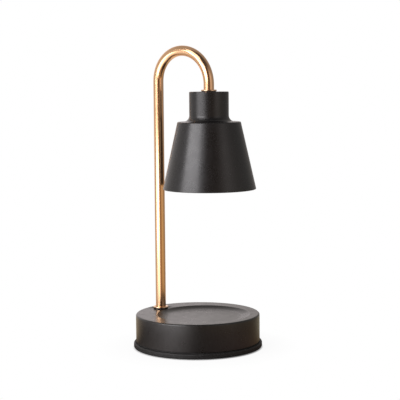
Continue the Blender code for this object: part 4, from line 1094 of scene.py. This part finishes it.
def cover_inner_nodes():
    """Materials for the CAD nodes whose own shape stays."""
    finishes = {
        "ballast_weight": iron,
        "terminal_block": terminal_plastic,
        "lead_live": lead_brown,
        "lead_neutral": lead_blue,
        "lampholder": ceramic,
        "lampholder_strap": stamped_zinc,
        "tube_bush_lower": nylon,
        "tube_bush_upper": nylon,
    }
    for name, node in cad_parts.items():
        material = finishes.get(name)
        if material is None:
            is_brass = name.startswith(("terminal_insert", "lampholder_contact"))
            material = brass if is_brass else zinc
        node.data.materials.clear()
        node.data.materials.append(material)
        smoothed(node.data, CAD_SHARP)


# Light, floor and camera


def make_lights():
    """One large softbox, in panels so that its ends are dimmer and the foot gets its own share."""
    for name, turn_deg, distance, height, size, level, aim in KEY_PANELS:
        light = bpy.data.lights.new(name, "AREA")
        light.shape = "RECTANGLE"
        light.size, light.size_y = size
        light.energy = level * math.pi * size[0] * size[1]
        light.color = KEY_COLOUR
        lamp = bpy.data.objects.new(name, light)
        place = toward(KEY_TURN + turn_deg) * distance + Vector((0, 0, height))
        way = Vector((0, 0, aim)) - place
        lamp.location = place
        lamp.rotation_mode = "QUATERNION"
        lamp.rotation_quaternion = way.to_track_quat("-Z", "Y")
        bpy.context.scene.collection.objects.link(lamp)


def compass(nodes, way):
    """How far round a direction or place lies: 0.5 toward the camera, more to the right."""
    parts = []
    for turn in (90, 0):
        dot = nodes.add("ShaderNodeVectorMath", operation="DOT_PRODUCT")
        dot.inputs[1].default_value = toward(turn)
        nodes.join(way, dot.inputs[0])
        parts.append(dot.outputs["Value"])
    turn = nodes.math("ARCTAN2", *parts)
    return nodes.spread(turn, 0, 1, -math.pi, math.pi)


def round_levels(nodes, turn, stops):
    """A ramp of the stops, each of (degrees from the camera toward the image's right, colour)."""
    ramp = nodes.add("ShaderNodeValToRGB")
    elements = ramp.color_ramp.elements
    while len(elements) < len(stops):
        elements.new(0.5)
    for element, (degrees, colour) in zip(elements, stops):
        element.position = (degrees + 180) / 360
        element.color = (*colour, 1)
    nodes.join(turn, ramp.inputs["Fac"])
    return ramp.outputs["Color"]


def seen_straight(nodes):
    """1 for rays from the camera or on their way through glass, 0 for all others."""
    ray = nodes.add("ShaderNodeLightPath").outputs
    return nodes.math("MAXIMUM", ray["Is Camera Ray"], ray["Is Transmission Ray"])


def make_world():
    """White as seen straight; mirrored, a room with a dim side toward the camera and a ceiling."""
    world = bpy.data.worlds.new("studio")
    bpy.context.scene.world = world
    world.use_nodes = True
    nodes = Nodes(world.node_tree)
    back = world.node_tree.nodes["Background"]
    way = nodes.add("ShaderNodeTexCoord").outputs["Generated"]
    turn = compass(nodes, way)
    walls = round_levels(nodes, turn, WALL_LEVELS)
    ceiling = round_levels(nodes, turn, CEILING_LEVELS)
    parts = nodes.add("ShaderNodeSeparateXYZ")
    nodes.join(way, parts.inputs[0])
    upward = nodes.spread(parts.outputs["Z"], 0, 1, *CEILING_BAND)
    room = nodes.blend(upward, walls, ceiling)
    nodes.join(nodes.blend(seen_straight(nodes), room, (1, 1, 1)), back.inputs["Color"])
    back.inputs["Strength"].default_value = 1.0


def make_floor():
    """A pale floor with the lamp's soft shadow; for glossy rays it glows with painted light, a
    table in a room, with painted shade at the foot.
    """
    bpy.ops.mesh.primitive_circle_add(
        vertices=DISC_SIDES, radius=FLOOR_RADIUS, fill_type="NGON", location=(0, 0, FLOOR_Z)
    )
    floor = bpy.context.object
    floor.name = "floor"
    material, shader, nodes = new_material("floor_white")
    nodes.tree.nodes.remove(shader)
    place = nodes.add("ShaderNodeNewGeometry").outputs["Position"]
    distance = nodes.add("ShaderNodeVectorMath", operation="LENGTH")
    nodes.join(place, distance.inputs[0])
    reach = distance.outputs["Value"]

    lit = nodes.add("ShaderNodeBsdfDiffuse")
    lit.inputs["Color"].default_value = FLOOR_COLOUR
    white = nodes.add("ShaderNodeEmission")
    near_white = nodes.spread(reach, WHITE_UNDER, WHITE_NEAR, *NEAR_BAND)
    open_white = nodes.spread(reach, 0.0, 1 - WHITE_NEAR, *OPEN_BAND)
    whiteness = nodes.math("ADD", near_white, open_white)
    straight = nodes.mix_shaders(whiteness, lit.outputs[0], white.outputs[0])

    turn = compass(nodes, place)
    table = round_levels(nodes, turn, TABLE_PAINTED_LIGHT)
    far_table = round_levels(nodes, turn, FAR_TABLE_PAINTED_LIGHT)
    walls = round_levels(nodes, turn, WALL_LEVELS)
    # Painted shade at the foot, then the painted light of the near table, the far table and the
    # walls
    level = nodes.blend(nodes.spread(reach, 0, 1, *TABLE_BAND), FOOT_PAINTED_SHADE, table)
    level = nodes.blend(nodes.spread(reach, 0, 1, *FAR_TABLE_BAND), level, far_table)
    level = nodes.blend(nodes.spread(reach, 0, 1, *WALL_BAND), level, walls)
    # For glossy rays the floor glows with this painted light instead of being lit
    mirrored = nodes.add("ShaderNodeEmission")
    nodes.join(level, mirrored.inputs["Color"])
    is_glossy = nodes.add("ShaderNodeLightPath").outputs["Is Glossy Ray"]
    indirect = nodes.mix_shaders(is_glossy, lit.outputs[0], mirrored.outputs[0])

    final = nodes.mix_shaders(seen_straight(nodes), indirect, straight)
    nodes.join(final, nodes.tree.nodes["Material Output"].inputs["Surface"])
    floor.data.materials.append(material)


def make_camera():
    """The photographer's camera, for a picture of IMAGE_PIXELS each way."""
    data = bpy.data.cameras.new("camera")
    data.sensor_width = 36
    data.lens = FOCAL_PIXELS / IMAGE_PIXELS * data.sensor_width
    data.clip_start, data.clip_end = 0.01, 50
    camera = bpy.data.objects.new("camera", data)
    bpy.context.scene.collection.objects.link(camera)
    right_way = toward(90)
    away = -toward(0)
    up_way = Vector((0, 0, 1))
    level = away * math.cos(VIEW_YAW) + right_way * math.sin(VIEW_YAW)
    ahead = level * math.cos(VIEW_DOWN) - up_way * math.sin(VIEW_DOWN)
    right = ahead.cross(up_way).normalized()
    up = right.cross(ahead)
    turned_right = right * math.cos(VIEW_ROLL) + up * math.sin(VIEW_ROLL)
    turned_up = up * math.cos(VIEW_ROLL) - right * math.sin(VIEW_ROLL)
    place = toward(0) * VIEW_DISTANCE + Vector((0, 0, VIEW_HEIGHT))
    axes = Matrix((turned_right, turned_up, -ahead)).transposed()
    camera.matrix_world = Matrix.Translation(place) @ axes.to_4x4()
    bpy.context.scene.camera = camera


make_camera()
cover_inner_nodes()
make_shade()
make_drum()
make_foot()
make_tube()
foot_collar_z = BASE_TOP + FOOT_WASHER_HEIGHT
shade_collar_z = SHADE_TOP + SHADE_WASHER_HEIGHT
make_collar("fine_foot_collar", "foot_ferrule", foot_collar_z, (POLE_X, 0))
make_collar("fine_shade_collar", "shade_ferrule", shade_collar_z, (SHADE_X, 0))
make_washer("fine_foot_washer", "foot_washer", BASE_TOP, foot_collar_z)
make_washer("fine_shade_washer", "shade_washer", SHADE_TOP, shade_collar_z)
make_grommet()
for number in (1, 2, 3):
    make_screw(f"fine_bottom_screw_{number}", f"bottom_screw_{number}")
for number in (1, 2):
    make_screw(f"fine_holder_screw_{number}", f"lampholder_screw_{number}")
make_bulb_base()
for number in (1, 2):
    make_bulb_pin(f"bulb_pin_{number}")
make_reflector()
make_bulb_glass()
make_filament()
make_lights()
make_world()
make_floor()
bpy.context.scene.view_settings.view_transform = "Standard"
